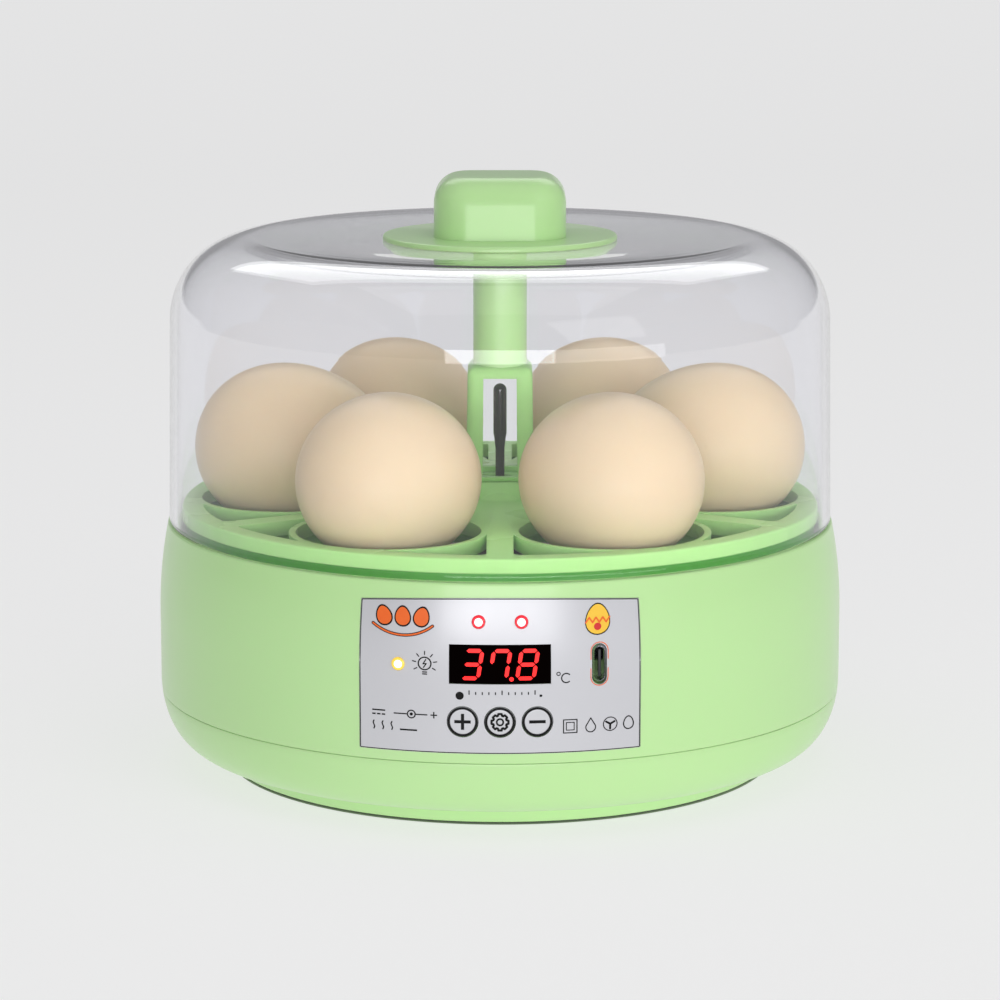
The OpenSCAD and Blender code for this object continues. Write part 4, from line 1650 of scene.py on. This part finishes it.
    def chick_egg(self, sheet: Print, x: float, z: float) -> None:
        """A cracked egg with a yellow yolk disc, a plain hatching sign.

        Args:
            sheet: The print.
            x: Its place across.
            z: Its height.
        """
        self.egg_patch(sheet, Ink.BLACK.value, x, z, 0.0039)
        sheet.lift += 0.00002
        self.egg_patch(sheet, Ink.YELLOW.value, x, z, 0.0036)
        sheet.lift += 0.00002
        zigzag = [(x - 0.0029 + 0.00083 * k, z - 0.0002 + (0.0006 if k % 2 else -0.0006)) for k in range(8)]
        sheet.line(Ink.ORANGE.value, zigzag, 0.0004)
        sheet.disc(Ink.RED.value, x, z - 0.0018, 0.0009, 24)
        sheet.lift -= 0.00004

    @staticmethod
    def thermometer(sheet: Print, x: float, z: float) -> None:
        """A lying thermometer with a scale of ticks.

        Args:
            sheet: The print.
            x: Its place across.
            z: Its height.
        """
        ink = Ink.BLACK.value
        sheet.line(ink, [(x - 0.0092, z), (x + 0.0100, z)], 0.0006)
        sheet.disc(ink, x - 0.0098, z, 0.0010, 24)
        for k in range(11):
            long_tick = k % 5 == 0
            at = x - 0.0075 + 0.0016 * k
            sheet.bar(ink, (at, z + 0.0003), (at, z + (0.0014 if long_tick else 0.0010)), 0.00028)

    @staticmethod
    def supply_signs(sheet: Print, x: float, z: float) -> None:
        """Direct-current sign, a plug sign and a flame sign in two rows.

        Args:
            sheet: The print.
            x: Its place across.
            z: Its height.
        """
        ink = Ink.BLACK.value
        top, low = z + 0.0012, z - 0.0020
        sheet.bar(ink, (x - 0.0080, top + 0.0005), (x - 0.0048, top + 0.0005), 0.00036)
        for k in range(3):
            at = x - 0.0080 + 0.00118 * k
            sheet.bar(ink, (at, top - 0.0005), (at + 0.00084, top - 0.0005), 0.00036)
        sheet.line(ink, [(x - 0.0026, top), (x + 0.0004, top)], 0.0003)
        sheet.ring(ink, x + 0.0016, top, 0.0011, 0.0003, 28)
        sheet.disc(ink, x + 0.0016, top, 0.0004, 16)
        sheet.line(ink, [(x + 0.0028, top), (x + 0.0054, top)], 0.0003)
        sheet.bar(ink, (x + 0.0063, top), (x + 0.0079, top), 0.0003)
        sheet.bar(ink, (x + 0.0071, top - 0.0008), (x + 0.0071, top + 0.0008), 0.0003)
        for k in range(3):
            at = x - 0.0076 + 0.0022 * k
            wave = [(at + 0.0002 * math.sin(j * 1.6), low - 0.0010 + 0.0005 * j) for j in range(5)]
            sheet.line(ink, wave, 0.0003)
        sheet.bar(ink, (x - 0.0012, low - 0.0008), (x + 0.0030, low - 0.0008), 0.0004)

    @staticmethod
    def small_signs(sheet: Print, x: float, z: float) -> None:
        """Four small signs: double square, water drop, fan and egg.

        Args:
            sheet: The print.
            x: Its place across.
            z: Its height.
        """
        ink = Ink.BLACK.value
        sheet.ring(ink, x - 0.0004, z, 0.0025, 0.00026, 4, math.pi / 4)
        sheet.ring(ink, x - 0.0004, z, 0.0015, 0.00022, 4, math.pi / 4)
        drop = [(x + 0.0046, z + 0.0018)] + arc((x + 0.0046, z - 0.0005), 0.0012, 20, -200, 14)
        sheet.line(ink, drop + drop[:1], 0.00026)
        fan_x = x + 0.0094
        sheet.ring(ink, fan_x, z, 0.0018, 0.00024, 36)
        for k in range(3):
            turn = FULL_TURN * k / 3 + 0.5
            tip = (fan_x + 0.0012 * math.cos(turn), z + 0.0012 * math.sin(turn))
            sheet.line(ink, [(fan_x, z), tip], 0.0005)
        egg_x = x + 0.0139
        points = []
        for k in range(21):
            turn = FULL_TURN * k / 20
            points.append((egg_x + 0.0012 * math.cos(turn) * (1 - 0.18 * math.sin(turn)),
                           z + 0.0016 * math.sin(turn)))
        sheet.line(ink, points, 0.00028)

    def socket_line(self, sheet: Print) -> None:
        """An orange line round the power socket.

        Args:
            sheet: The print.
        """
        x, z = self.socket
        radius = self.socket_size[0] / 2 + 0.00035
        rise = (self.socket_size[1] - self.socket_size[0]) / 2
        points = arc((x, z + rise), radius, 0, 180, 12) + arc((x, z - rise), radius, 180, 360, 12)
        sheet.line(Ink.ORANGE.value, points + points[:1], 0.00022)

    def build(self) -> None:
        """Builds the panel."""
        self.label()
        self.window()
        self.digits()
        self.lamps()
        self.keys()
        self.socket_parts()
        self.print_label()


# ---- tray and probe


@dataclass
class Tray:
    """The egg tray with its wells, cut-outs and hub, and the sensor cage on it."""

    radius: float = 0.0838
    top: float = 0.070
    plate: float = 0.0037
    well_radius: float = 0.0232
    well_ring: float = 0.0558
    spoke: float = 0.0066
    cutout_limit: float = 0.0786
    well_wall: float = 0.0017
    skirt_low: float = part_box("egg_tray")[0].z
    hub_top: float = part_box("egg_tray")[1].z
    hub_hole: float = 0.00375

    def cutout(self) -> list[Point]:
        """The corners and curves of one cut-out, on the right of the front spoke.

        Returns:
            The outline's points.
        """
        centre = (self.well_ring * math.sin(math.radians(30)), -self.well_ring * math.cos(math.radians(30)))
        reach = self.well_radius + self.well_wall
        side = self.spoke / 2
        inner_drop = math.sqrt(reach ** 2 - (centre[0] - side) ** 2)
        start = math.degrees(math.atan2(-inner_drop, side - centre[0]))
        near, far = self.well_ring, self.cutout_limit
        share = (near ** 2 + reach ** 2 - far ** 2) / (2 * near * reach)
        span = math.degrees(math.acos(share))
        middle = math.degrees(math.atan2(-centre[1], -centre[0]))
        end = middle + span - 360
        well_side = arc(centre, reach, start, end, 18)
        rim_start = math.degrees(math.atan2(well_side[-1][1], well_side[-1][0]))
        rim_end = -90 + math.degrees(math.asin(side / far))
        rim_side = arc((0.0, 0.0), far, rim_start, rim_end, 12)
        return well_side + rim_side[1:]

    def cutout_cutter(self) -> Piece:
        """A cutter for one cut-out, with its corners rounded.

        Returns:
            The cutter.
        """
        points = self.cutout()
        count = len(points)
        piece = Bench.outline("cutter", [(x, y, self.top + 0.002) for x, y in points], ring=True)
        Bench.edit(piece)
        bpy.ops.mesh.edge_face_add()
        Bench.close()
        Bench.edit(piece, everything=False)
        bpy.ops.mesh.select_mode(type="VERT")
        Bench.close()
        for vertex in piece.data.vertices:
            k = min(range(count), key=lambda i: math.dist(points[i], vertex.co[:2]))
            before, here, after = points[k - 1], points[k], points[(k + 1) % count]
            arriving = math.atan2(here[1] - before[1], here[0] - before[0])
            leaving = math.atan2(after[1] - here[1], after[0] - here[0])
            turn = abs((leaving - arriving + math.pi) % FULL_TURN - math.pi)
            vertex.select = turn > math.radians(35)
        bpy.ops.object.mode_set(mode="EDIT")
        bpy.ops.mesh.bevel(offset=0.0018, segments=6, affect="VERTICES", clamp_overlap=False)
        bpy.ops.mesh.select_all(action="SELECT")
        bpy.ops.mesh.extrude_region_move(TRANSFORM_OT_translate={"value": (0, 0, -self.plate - 0.004)})
        Bench.close()
        Bench.tidy(piece)
        return piece

    def plate_piece(self) -> None:
        """Turns the plate with its skirt and hub and cuts the wells and cut-outs."""
        low = self.top - self.plate
        rim = 0.0006
        pedestal = 0.0094
        profile = [(self.hub_hole, low), (self.radius - rim / 2, low), (self.radius, low + rim / 2)]
        profile += arc((self.radius - rim, self.top - rim), rim, 0, 90, 4)
        profile += [(pedestal + 0.0008, self.top), (pedestal, self.top + 0.0004),
                    (pedestal - 0.0006, self.top + 0.0014), (pedestal - 0.0012, self.top + 0.002),
                    (self.hub_hole, self.top + 0.002)]
        piece = Bench.turned("egg_tray_plate", profile, 192)
        side = 0.0081
        hub = Bench.block("hub", (-side, -side, self.top + 0.0005), (side, side, self.hub_top))
        bore = Bench.rod("cutter", self.hub_hole, (0, 0, self.top - 0.01), (0, 0, self.hub_top + 0.01), 64)
        Bench.modify(piece, "BOOLEAN", operation="UNION", solver="EXACT", object=hub)
        bpy.data.objects.remove(hub)
        Bench.cut(piece, bore)
        cutters = []
        for k in range(6):
            turn = math.radians(30 + 60 * k)
            x, y = self.well_ring * math.sin(turn), -self.well_ring * math.cos(turn)
            cutters.append(Bench.rod("well", self.well_radius, (x, y, low - 0.002),
                                     (x, y, self.top + 0.002), 96))
        first = self.cutout_cutter()
        Bench.pick(first)
        bpy.ops.object.duplicate(linked=False)
        twin = bpy.context.active_object
        Bench.shape(twin, lambda p: (-p.x, p.y, p.z))
        Bench.tidy(twin)
        for k in range(6):
            turn = math.radians(60 * k)
            cutters += [Bench.copied(first, "cutter", turn), Bench.copied(twin, "cutter", turn)]
        for spare in (first, twin):
            bpy.data.objects.remove(spare)
        Bench.cut(piece, *cutters)
        Bench.soften(piece, 0.00035, 3, 40)
        Bench.smooth(piece, 35)
        show(piece, Body.TRAY, "green_tray", ["egg_tray"])

    def skirt(self) -> None:
        """Turns the skirt under the plate's rim, in a darker green that paints the shade under the rim."""
        high, low, round_off = self.top - self.plate, self.skirt_low, 0.0004
        outer, inner = 0.083, 0.081
        profile = [(inner, high), (inner, low + round_off), (inner + round_off, low),
                   (outer - round_off, low), (outer, low + round_off), (outer, high)]
        piece = Bench.turned("egg_tray_skirt", profile, 192)
        Bench.smooth(piece, 35)
        # the skirt wears a darker green as painted shade, not a plastic of its own
        show(piece, Body.TRAY, "green_painted_shade")

    def cage(self) -> None:
        """Makes the four-legged guard round the probe."""
        low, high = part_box("sensor_cage")
        half = high.x
        piece = Bench.block("probe_cage", low, high)
        Bench.round_along(piece, 2, half, 0.0019, 3)
        inside, window, window_top = half - 0.0018, 0.0092, 0.1024
        room = Bench.block("cutter", (-inside, -inside, low.z - 0.001), (inside, inside, window_top))
        across = Bench.block("cutter", (-window / 2, -0.02, low.z + 0.0015), (window / 2, 0.02, window_top))
        along = Bench.copied(across, "cutter", math.pi / 2)
        seat = Bench.rod("cutter", 0.0074, (0, 0, high.z - 0.001), (0, 0, high.z + 0.004), 64)
        Bench.cut(piece, room, across, along, seat)
        taper = 0.95

        def narrow(point: Vector) -> Place:
            """A point's place once the guard narrows towards its top."""
            share = 1 - (1 - taper) * (point.z - low.z) / (high.z - low.z)
            return point.x * share, point.y * share, point.z

        Bench.shape(piece, narrow)
        Bench.soften(piece, 0.0003, 3, 40)
        Bench.smooth(piece, 35)
        show(piece, Body.TRAY, "green_tray", ["sensor_cage"])

    def probe(self) -> None:
        """Turns the temperature probe that stands up inside the cage."""
        low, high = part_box("temperature_probe")
        thick, neck, foot = 0.00175, 0.0012, 0.0022
        tip = high.z
        profile = [(0.0, low.z), (foot, low.z), (foot, low.z + 0.0038), (neck + 0.0004, low.z + 0.0044),
                   (neck, low.z + 0.0052), (neck, tip - 0.0171), (neck + 0.0001, tip - 0.0165),
                   (thick - 0.0002, tip - 0.0142), (thick, tip - 0.0133)]
        profile += arc((0.0, tip - thick), thick, 0, 90, 8)[:-1] + [(0.0, tip)]
        piece = Bench.turned("probe_sheath", profile, 48, ring=False)
        Bench.smooth(piece, 40)
        show(piece, Body.BASE, "black_gloss", ["temperature_probe"])

    def build(self) -> None:
        """Builds the tray, cage and probe."""
        self.plate_piece()
        self.skirt()
        self.cage()
        self.probe()


# ---- eggs


@dataclass
class Clutch:
    """Six hen eggs that lie in the wells with their blunt ends outwards."""

    half_length: float = 0.0264
    half_width: float = 0.022
    blunt: float = 0.07
    ring: float = 0.0543
    height: float = 0.0829
    tilt: float = math.radians(6)
    nodes: tuple[str, ...] = ("egg_front_right", "egg_right", "egg_rear_right", "egg_rear_left",
                               "egg_left", "egg_front_left")

    def build(self) -> None:
        """Models one egg and copies it to each well."""
        Bench.clear()
        bpy.ops.mesh.primitive_uv_sphere_add(segments=72, ring_count=48, radius=1)
        egg = Bench.take("egg")

        def form(point: Vector) -> Place:
            """A point of the ball, drawn out to an egg that lies in the front well.

            Args:
                point: The point.

            Returns:
                Its new place.
            """
            width = self.half_width * (1 + self.blunt * point.z)
            across, aside, along = point.x * width, point.y * width, point.z * self.half_length
            out = along * math.cos(self.tilt) - aside * math.sin(self.tilt)
            up = along * math.sin(self.tilt) + aside * math.cos(self.tilt)
            return across, -self.ring - out, self.height + up

        Bench.shape(egg, form)
        Bench.tidy(egg)
        for k, name in enumerate(self.nodes):
            piece = Bench.copied(egg, f"hen_{name}", math.radians(30 + 60 * k))
            Bench.smooth(piece, 60)
            show(piece, name, "hen_eggshell", [name])
        bpy.data.objects.remove(egg)


# ---- lid


@dataclass
class Lid:
    """The clear dome with its disc, knob and stem."""

    bottom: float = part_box("dome_cover")[0].z
    shoulder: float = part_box("dome_cover")[1].z
    top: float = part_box("lid_knob")[1].z
    radius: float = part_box("dome_cover")[1].x
    top_radius: float = 0.0863
    fillet: float = 0.0215
    wall: float = 0.002
    dish: float = 0.0012
    disc_radius: float = 0.0306
    disc_height: float = 0.0014
    stem_radius: float = 0.007

    def dome(self) -> None:
        """Turns the clear dome, inside and outside."""
        flat = self.shoulder - self.dish
        centre = (self.top_radius - self.fillet, self.shoulder - self.fillet)
        land, hole, lip = self.disc_radius + 0.0014, 0.0023, 0.0007
        inner, guard = self.radius - self.wall, 0.0005
        outer_wall = [(self.radius - lip, self.bottom), (self.radius - lip * 0.3, self.bottom + lip * 0.3),
                      (self.radius, self.bottom + lip), (self.radius - guard / 60, self.bottom + lip + guard),
                      (self.radius - 0.0003, self.bottom + 0.018),
                      (self.radius - 0.0006, self.bottom + 0.036)]
        slope = self.crown(centre[0], land, flat)
        outer = arc(centre, self.fillet, 0, 90, 22) + slope + [(hole, flat)]
        inside = [(hole, flat - self.wall)] + [(r, z - self.wall) for r, z in reversed(slope)]
        inside += arc(centre, self.fillet - self.wall, 90, 0, 22)
        inside += [(inner - 0.0006, self.bottom + 0.036), (inner - 0.0003, self.bottom + 0.018),
                   (inner - guard / 60, self.bottom + lip + guard), (inner, self.bottom + lip),
                   (inner + lip * 0.4, self.bottom)]
        piece = Bench.turned("clear_dome", outer_wall + outer + inside, 256)
        Bench.smooth(piece, 40)
        show(piece, Body.LID, "clear_dome", ["dome_cover"])

    def crown(self, start: float, end: float, low: float) -> list[Point]:
        """The soft slope from the shoulder down to the flat land under the disc.

        Args:
            start: The radius at the shoulder.
            end: The radius of the land.
            low: The land's height.

        Returns:
            Radius and height of each point.
        """
        steps = 8
        points = []
        for k in range(1, steps + 1):
            share = k / steps
            eased = share * share * (3 - 2 * share)
            points.append((start + (end - start) * share, self.shoulder + (low - self.shoulder) * eased))
        return points

    def disc(self) -> None:
        """Turns the disc under the knob."""
        low = self.shoulder - self.dish
        radius, height, edge = self.disc_radius, self.disc_height, 0.0007
        profile = [(0.0023, low), (radius - 0.0002, low), (radius, low + 0.0002)]
        profile += [(radius, low + height - edge)]
        profile += arc((radius - edge, low + height - edge), edge, 0, 90, 5)[1:] + [(0.0023, low + height)]
        piece = Bench.turned("knob_disc", profile, 160)
        Bench.smooth(piece, 35)
        show(piece, Body.LID, "green_casing", ["knob_flange"])

    def knob(self) -> None:
        """Shapes the rounded-square knob from a block."""
        low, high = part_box("lid_knob")
        corner, edge, steps = 0.0098, 0.0068, 12
        x, y = high.x - corner, high.y - corner
        outline: list[Point] = []
        for quarter, (side_x, side_y) in enumerate(((1, 1), (-1, 1), (-1, -1), (1, -1))):
            outline += arc((side_x * x, side_y * y), corner, 90 * quarter, 90 * quarter + 90, 14)
        piece = Bench.outline("grip_knob", [(*point, low.z) for point in outline], ring=True)
        Bench.edit(piece)
        bpy.ops.mesh.edge_face_add()
        bpy.ops.mesh.select_mode(type="FACE")
        rise = high.z - edge - low.z
        for share in (0.34, 0.33, 0.33):
            bpy.ops.mesh.extrude_region_move(TRANSFORM_OT_translate={"value": (0, 0, rise * share)})
        turns = [math.pi / 2 * k / steps for k in range(steps + 1)]
        for before, after in zip(turns[:-1], turns[1:]):
            inward = edge * (math.cos(before) - math.cos(after))
            upward = edge * (math.sin(after) - math.sin(before))
            bpy.ops.mesh.inset(thickness=inward, use_even_offset=True)
            bpy.ops.transform.translate(value=(0, 0, upward))
        Bench.close()
        Bench.tidy(piece)
        front_lean, back_lean = 0.074, 0.03

        def draft(point: Vector) -> Place:
            """A point's place once front and back lean in towards the top.

            Args:
                point: The point.

            Returns:
                Its new place.
            """
            lean = front_lean if point.y < 0 else back_lean
            share = 1 - lean * (point.z - low.z) / (high.z - low.z)
            return point.x, point.y * share, point.z

        Bench.shape(piece, draft)
        Bench.smooth(piece, 50)
        show(piece, Body.LID, "green_casing", ["lid_knob"])

    def stem(self) -> None:
        """Turns the hollow stem under the dome."""
        low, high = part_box("stem_tube")
        radius, bore, solid, edge = self.stem_radius, 0.005, 0.006, 0.0004
        profile = [(bore, low.z + edge), (bore + edge, low.z), (radius - edge, low.z), (radius, low.z + edge),
                   (radius, high.z - 0.0012), (radius + 0.0008, high.z - 0.0003), (radius + 0.0008, high.z),
                   (0.0023, high.z), (0.0023, high.z - solid), (bore, high.z - solid)]
        piece = Bench.turned("lid_stem", profile, 96)
        Bench.smooth(piece, 35)
        show(piece, Body.LID, "green_casing", ["stem_tube"])

    def build(self) -> None:
        """Builds the lid."""
        self.dome()
        self.disc()
        self.knob()
        self.stem()


# ---- fan and heater


@dataclass
class AirDrive:
    """The fan's rotor and the heater's ring, which show when the tray is lifted out."""

    ring: float = 0.0355
    rod: float = 0.0018
    blades: int = 7

    def rotor(self) -> None:
        """Turns the rotor's hub and sets its curved blades round it."""
        low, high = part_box("fan_rotor")
        hub, wall, edge = 0.012, 0.0014, 0.0008
        bottom = low.z + 0.0008
        profile = [(0.0, high.z), (hub - edge, high.z), (hub - edge * 0.3, high.z - edge * 0.3),
                   (hub, high.z - edge), (hub, bottom), (hub - wall, bottom), (hub - wall, high.z - 0.0014),
                   (0.001, high.z - 0.0014), (0.001, low.z), (0.0, low.z)]
        cup = Bench.turned("rotor_hub", profile, 96, ring=False)
        Bench.clear()
        middle, depth = (bottom + high.z) / 2, high.z - bottom - 0.0006
        bpy.ops.mesh.primitive_grid_add(x_subdivisions=10, y_subdivisions=10, size=1)
        blade = Bench.take("blade")
        reach = 0.0226 - hub + 0.0005

        def sweep(point: Vector) -> Place:
            """A point of the flat grid, bent and set as a blade.

            Args:
                point: The point.

            Returns:
                Its new place.
            """
            out = hub - 0.0005 + (point.x + 0.5) * reach
            turn = point.y * 0.62 + 0.12 * (point.x + 0.5)
            rise = point.y * depth * 0.92 + 0.0006 * math.cos(math.pi * point.y)
            return out * math.cos(turn), out * math.sin(turn), middle + rise

        Bench.shape(blade, sweep)
        Bench.modify(blade, "SOLIDIFY", thickness=0.0009, offset=0.0)
        parts = [cup]
        parts += [Bench.copied(blade, "blade", FULL_TURN * k / self.blades) for k in range(self.blades)]
        bpy.data.objects.remove(blade)
        piece = Bench.joined("fan_wheel", parts)
        Bench.smooth(piece, 40)
        show(piece, Body.FAN, "black_satin", ["fan_rotor"])

    def heater(self) -> None:
        """Bends the heater's rod into its open ring."""
        low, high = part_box("heater_ring")
        height = (low.z + high.z) / 2
        Bench.clear()
        bpy.ops.mesh.primitive_torus_add(major_segments=144, minor_segments=20, major_radius=self.ring,
                                         minor_radius=self.rod, location=(0, 0, height))
        piece = Bench.take("heater_rod")
        gap_turn = math.radians(-120)
        wedge = Bench.block("cutter", (-0.005, -0.0012, -0.005), (0.005, 0.0012, 0.005))
        wedge.rotation_euler = (0, 0, gap_turn)
        wedge.location = (self.ring * math.cos(gap_turn), self.ring * math.sin(gap_turn), height)
        Bench.pick(wedge)
        Bench.take("cutter")
        Bench.cut(piece, wedge)
        Bench.smooth(piece, 50)
        show(piece, Body.BASE, "heater_sheath", ["heater_ring"])

    def build(self) -> None:
        """Builds the rotor and the heater."""
        self.rotor()
        self.heater()


# ---- carried-over nodes


@dataclass
class Carried:
    """The frame's own nodes that stay as they are, each with its finish."""

    finishes: dict[str, str] = field(default_factory=lambda: {
        "case_screws": "plated_steel", "fan_screws": "plated_steel", "board_screws": "plated_steel",
        "stem_screw": "plated_steel", "heater_clips": "white_ceramic", "display_module": "white_ceramic",
        "fan_frame": "black_satin", "fan_grille": "green_inside", "board_chips": "black_satin",
        "alarm_sounder": "black_satin", "tact_switches": "black_satin", "control_board": "board_mask",
        "probe_grommet": "foot_rubber", "probe_lead": "lead_black", "fan_lead": "lead_red",
        "heater_leads": "lead_white"})

    def build(self) -> None:
        """Gives each node its material."""
        for name, paint in self.finishes.items():
            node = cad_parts[name]
            node.data.materials.clear()
            node.data.materials.append(Palette.paint(paint))
            LOG.info("%s: frame node in %s", name, paint)


# ---- studio


@dataclass
class Studio:
    """The pale sweep, the lamps and the camera."""

    backdrop: Colour = field(default_factory=lambda: srgb(229, 229, 229))
    distance: float = 0.9625
    camera_height: float = 0.2525
    pitch: float = math.radians(10.82)
    focal_share: float = 3.701
    sensor: float = 36.0
    # radius of the grey disc that paints the foot's contact shadow on the floor
    shadow_disc_radius: float = 0.0724

    def sweep(self) -> None:
        """Lays the floor, which turns up into a plain backdrop far behind."""
        Bench.clear()
        depth, bend, width = 1.6, 0.8, 6.0
        profile = [(-4.0, 0.0), (depth, 0.0)] + arc((depth, bend), bend, -90, -45, 10)[1:]
        piece = Bench.outline("studio_sweep", [(-width / 2, y, z) for y, z in profile])
        Bench.edit(piece)
        bpy.ops.mesh.extrude_region_move(TRANSFORM_OT_translate={"value": (width, 0, 0)})
        bpy.ops.mesh.normals_make_consistent(inside=False)
        Bench.close()
        for face in piece.data.polygons:
            face.use_smooth = True
        piece.data.materials.append(self.paper("studio_paper", 0.28, 0.83))

    def paint_shadow_disc(self) -> None:
        """Lays a thin grey disc under the foot: a painted contact shadow on the floor."""
        Bench.clear()
        bpy.ops.mesh.primitive_circle_add(vertices=128, radius=self.shadow_disc_radius, fill_type="NGON",
                                          location=(0, 0, 0.00005))
        piece = Bench.take("studio_shadow_disc")
        # grey paper with no glow of its own: painted shadow under the foot
        piece.data.materials.append(self.paper("studio_painted_shadow", 0.55, 0.0))

    def paper(self, name: str, albedo: float, glow: float) -> Paint:
        """Paper that keeps an even tone and takes a soft shadow.

        Args:
            name: The material's name.
            albedo: How much light it scatters.
            glow: How much of its tone is its own.

        Returns:
            The material.
        """
        paint = bpy.data.materials.new(name)
        paint.use_nodes = True
        tree = paint.node_tree
        shader = tree.nodes["Principled BSDF"]
        shader.inputs["Base Color"].default_value = (albedo, albedo, albedo, 1)
        shader.inputs["Roughness"].default_value = 0.5
        shader.inputs["Specular IOR Level"].default_value = 0.0
        shader.inputs["Emission Color"].default_value = self.backdrop
        shader.inputs["Emission Strength"].default_value = glow
        return paint

    @staticmethod
    def lamp(name: str, place: Sequence[float], aim: Sequence[float], size: Point, radiance: float,
             gloss: bool = True, diffuse: bool = True) -> None:
        """A soft rectangular lamp aimed at a point.

        Args:
            name: Its name.
            place: Where its middle hangs.
            aim: The point it faces.
            size: Its width and height.
            radiance: How bright its face is.
            gloss: False for a fill that leaves no highlight.
            diffuse: False for a reflector that only shows as a highlight.
        """
        light = bpy.data.lights.new(name, "AREA")
        light.shape = "RECTANGLE"
        light.size, light.size_y = size
        light.energy = radiance * math.pi * size[0] * size[1]
        holder = bpy.data.objects.new(name, light)
        bpy.context.scene.collection.objects.link(holder)
        holder.location = place
        holder.rotation_euler = (Vector(aim) - Vector(place)).to_track_quat("-Z", "Y").to_euler()
        holder.visible_glossy = gloss
        holder.visible_diffuse = diffuse
        holder.visible_camera = False

    def lamps(self) -> None:
        """Hangs the lamps and reflectors."""
        middle = (0, 0, 0.08)
        self.lamp("front_box", (0.0, -1.5, 0.20), middle, (0.98, 0.42), 4.3)
        self.lamp("front_fill", (0.9, -1.2, 0.15), middle, (1.1, 0.5), 3.6, gloss=False)
        self.lamp("top_fill", (0.0, -0.1, 1.2), middle, (1.0, 1.0), 0.75, gloss=False)
        self.lamp("key_box", (0.85, -1.1, 1.05), middle, (0.8, 0.8), 0.8)
        self.lamp("shoulder_panel", (0.0, 1.02, 1.2), (0, 0, 0.13), (1.7, 0.86), 1.6, diffuse=False)
        world = bpy.data.worlds.new("studio_air")
        bpy.context.scene.world = world
        world.use_nodes = True
        air = world.node_tree.nodes["Background"]
        air.inputs["Color"].default_value = (0.97, 0.97, 1.0, 1)
        air.inputs["Strength"].default_value = 0.37

    def camera(self) -> None:
        """Sets up the camera."""
        data = bpy.data.cameras.new("studio_camera")
        data.sensor_width = self.sensor
        data.lens = self.sensor * self.focal_share
        data.clip_start = 0.01
        holder = bpy.data.objects.new("studio_camera", data)
        bpy.context.scene.collection.objects.link(holder)
        holder.location = (0, -self.distance, self.camera_height)
        holder.rotation_euler = (math.pi / 2 - self.pitch, 0, 0)
        bpy.context.scene.camera = holder

    def build(self) -> None:
        """Builds the studio."""
        self.sweep()
        self.paint_shadow_disc()
        self.lamps()
        self.camera()
        bpy.context.scene.view_settings.view_transform = "Standard"


def main() -> None:
    """Builds the studio and every sub-assembly in order."""
    logging.basicConfig(level=logging.INFO, format="%(name)s %(message)s")
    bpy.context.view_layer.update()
    Studio().build()
    wall = Wall()
    for assembly in (Base(wall), Panel(wall), Tray(), Clutch(), Lid(), AirDrive(), Carried()):
        assembly.build()
    Bench.clear()


if __name__ == "__main__":
    main()
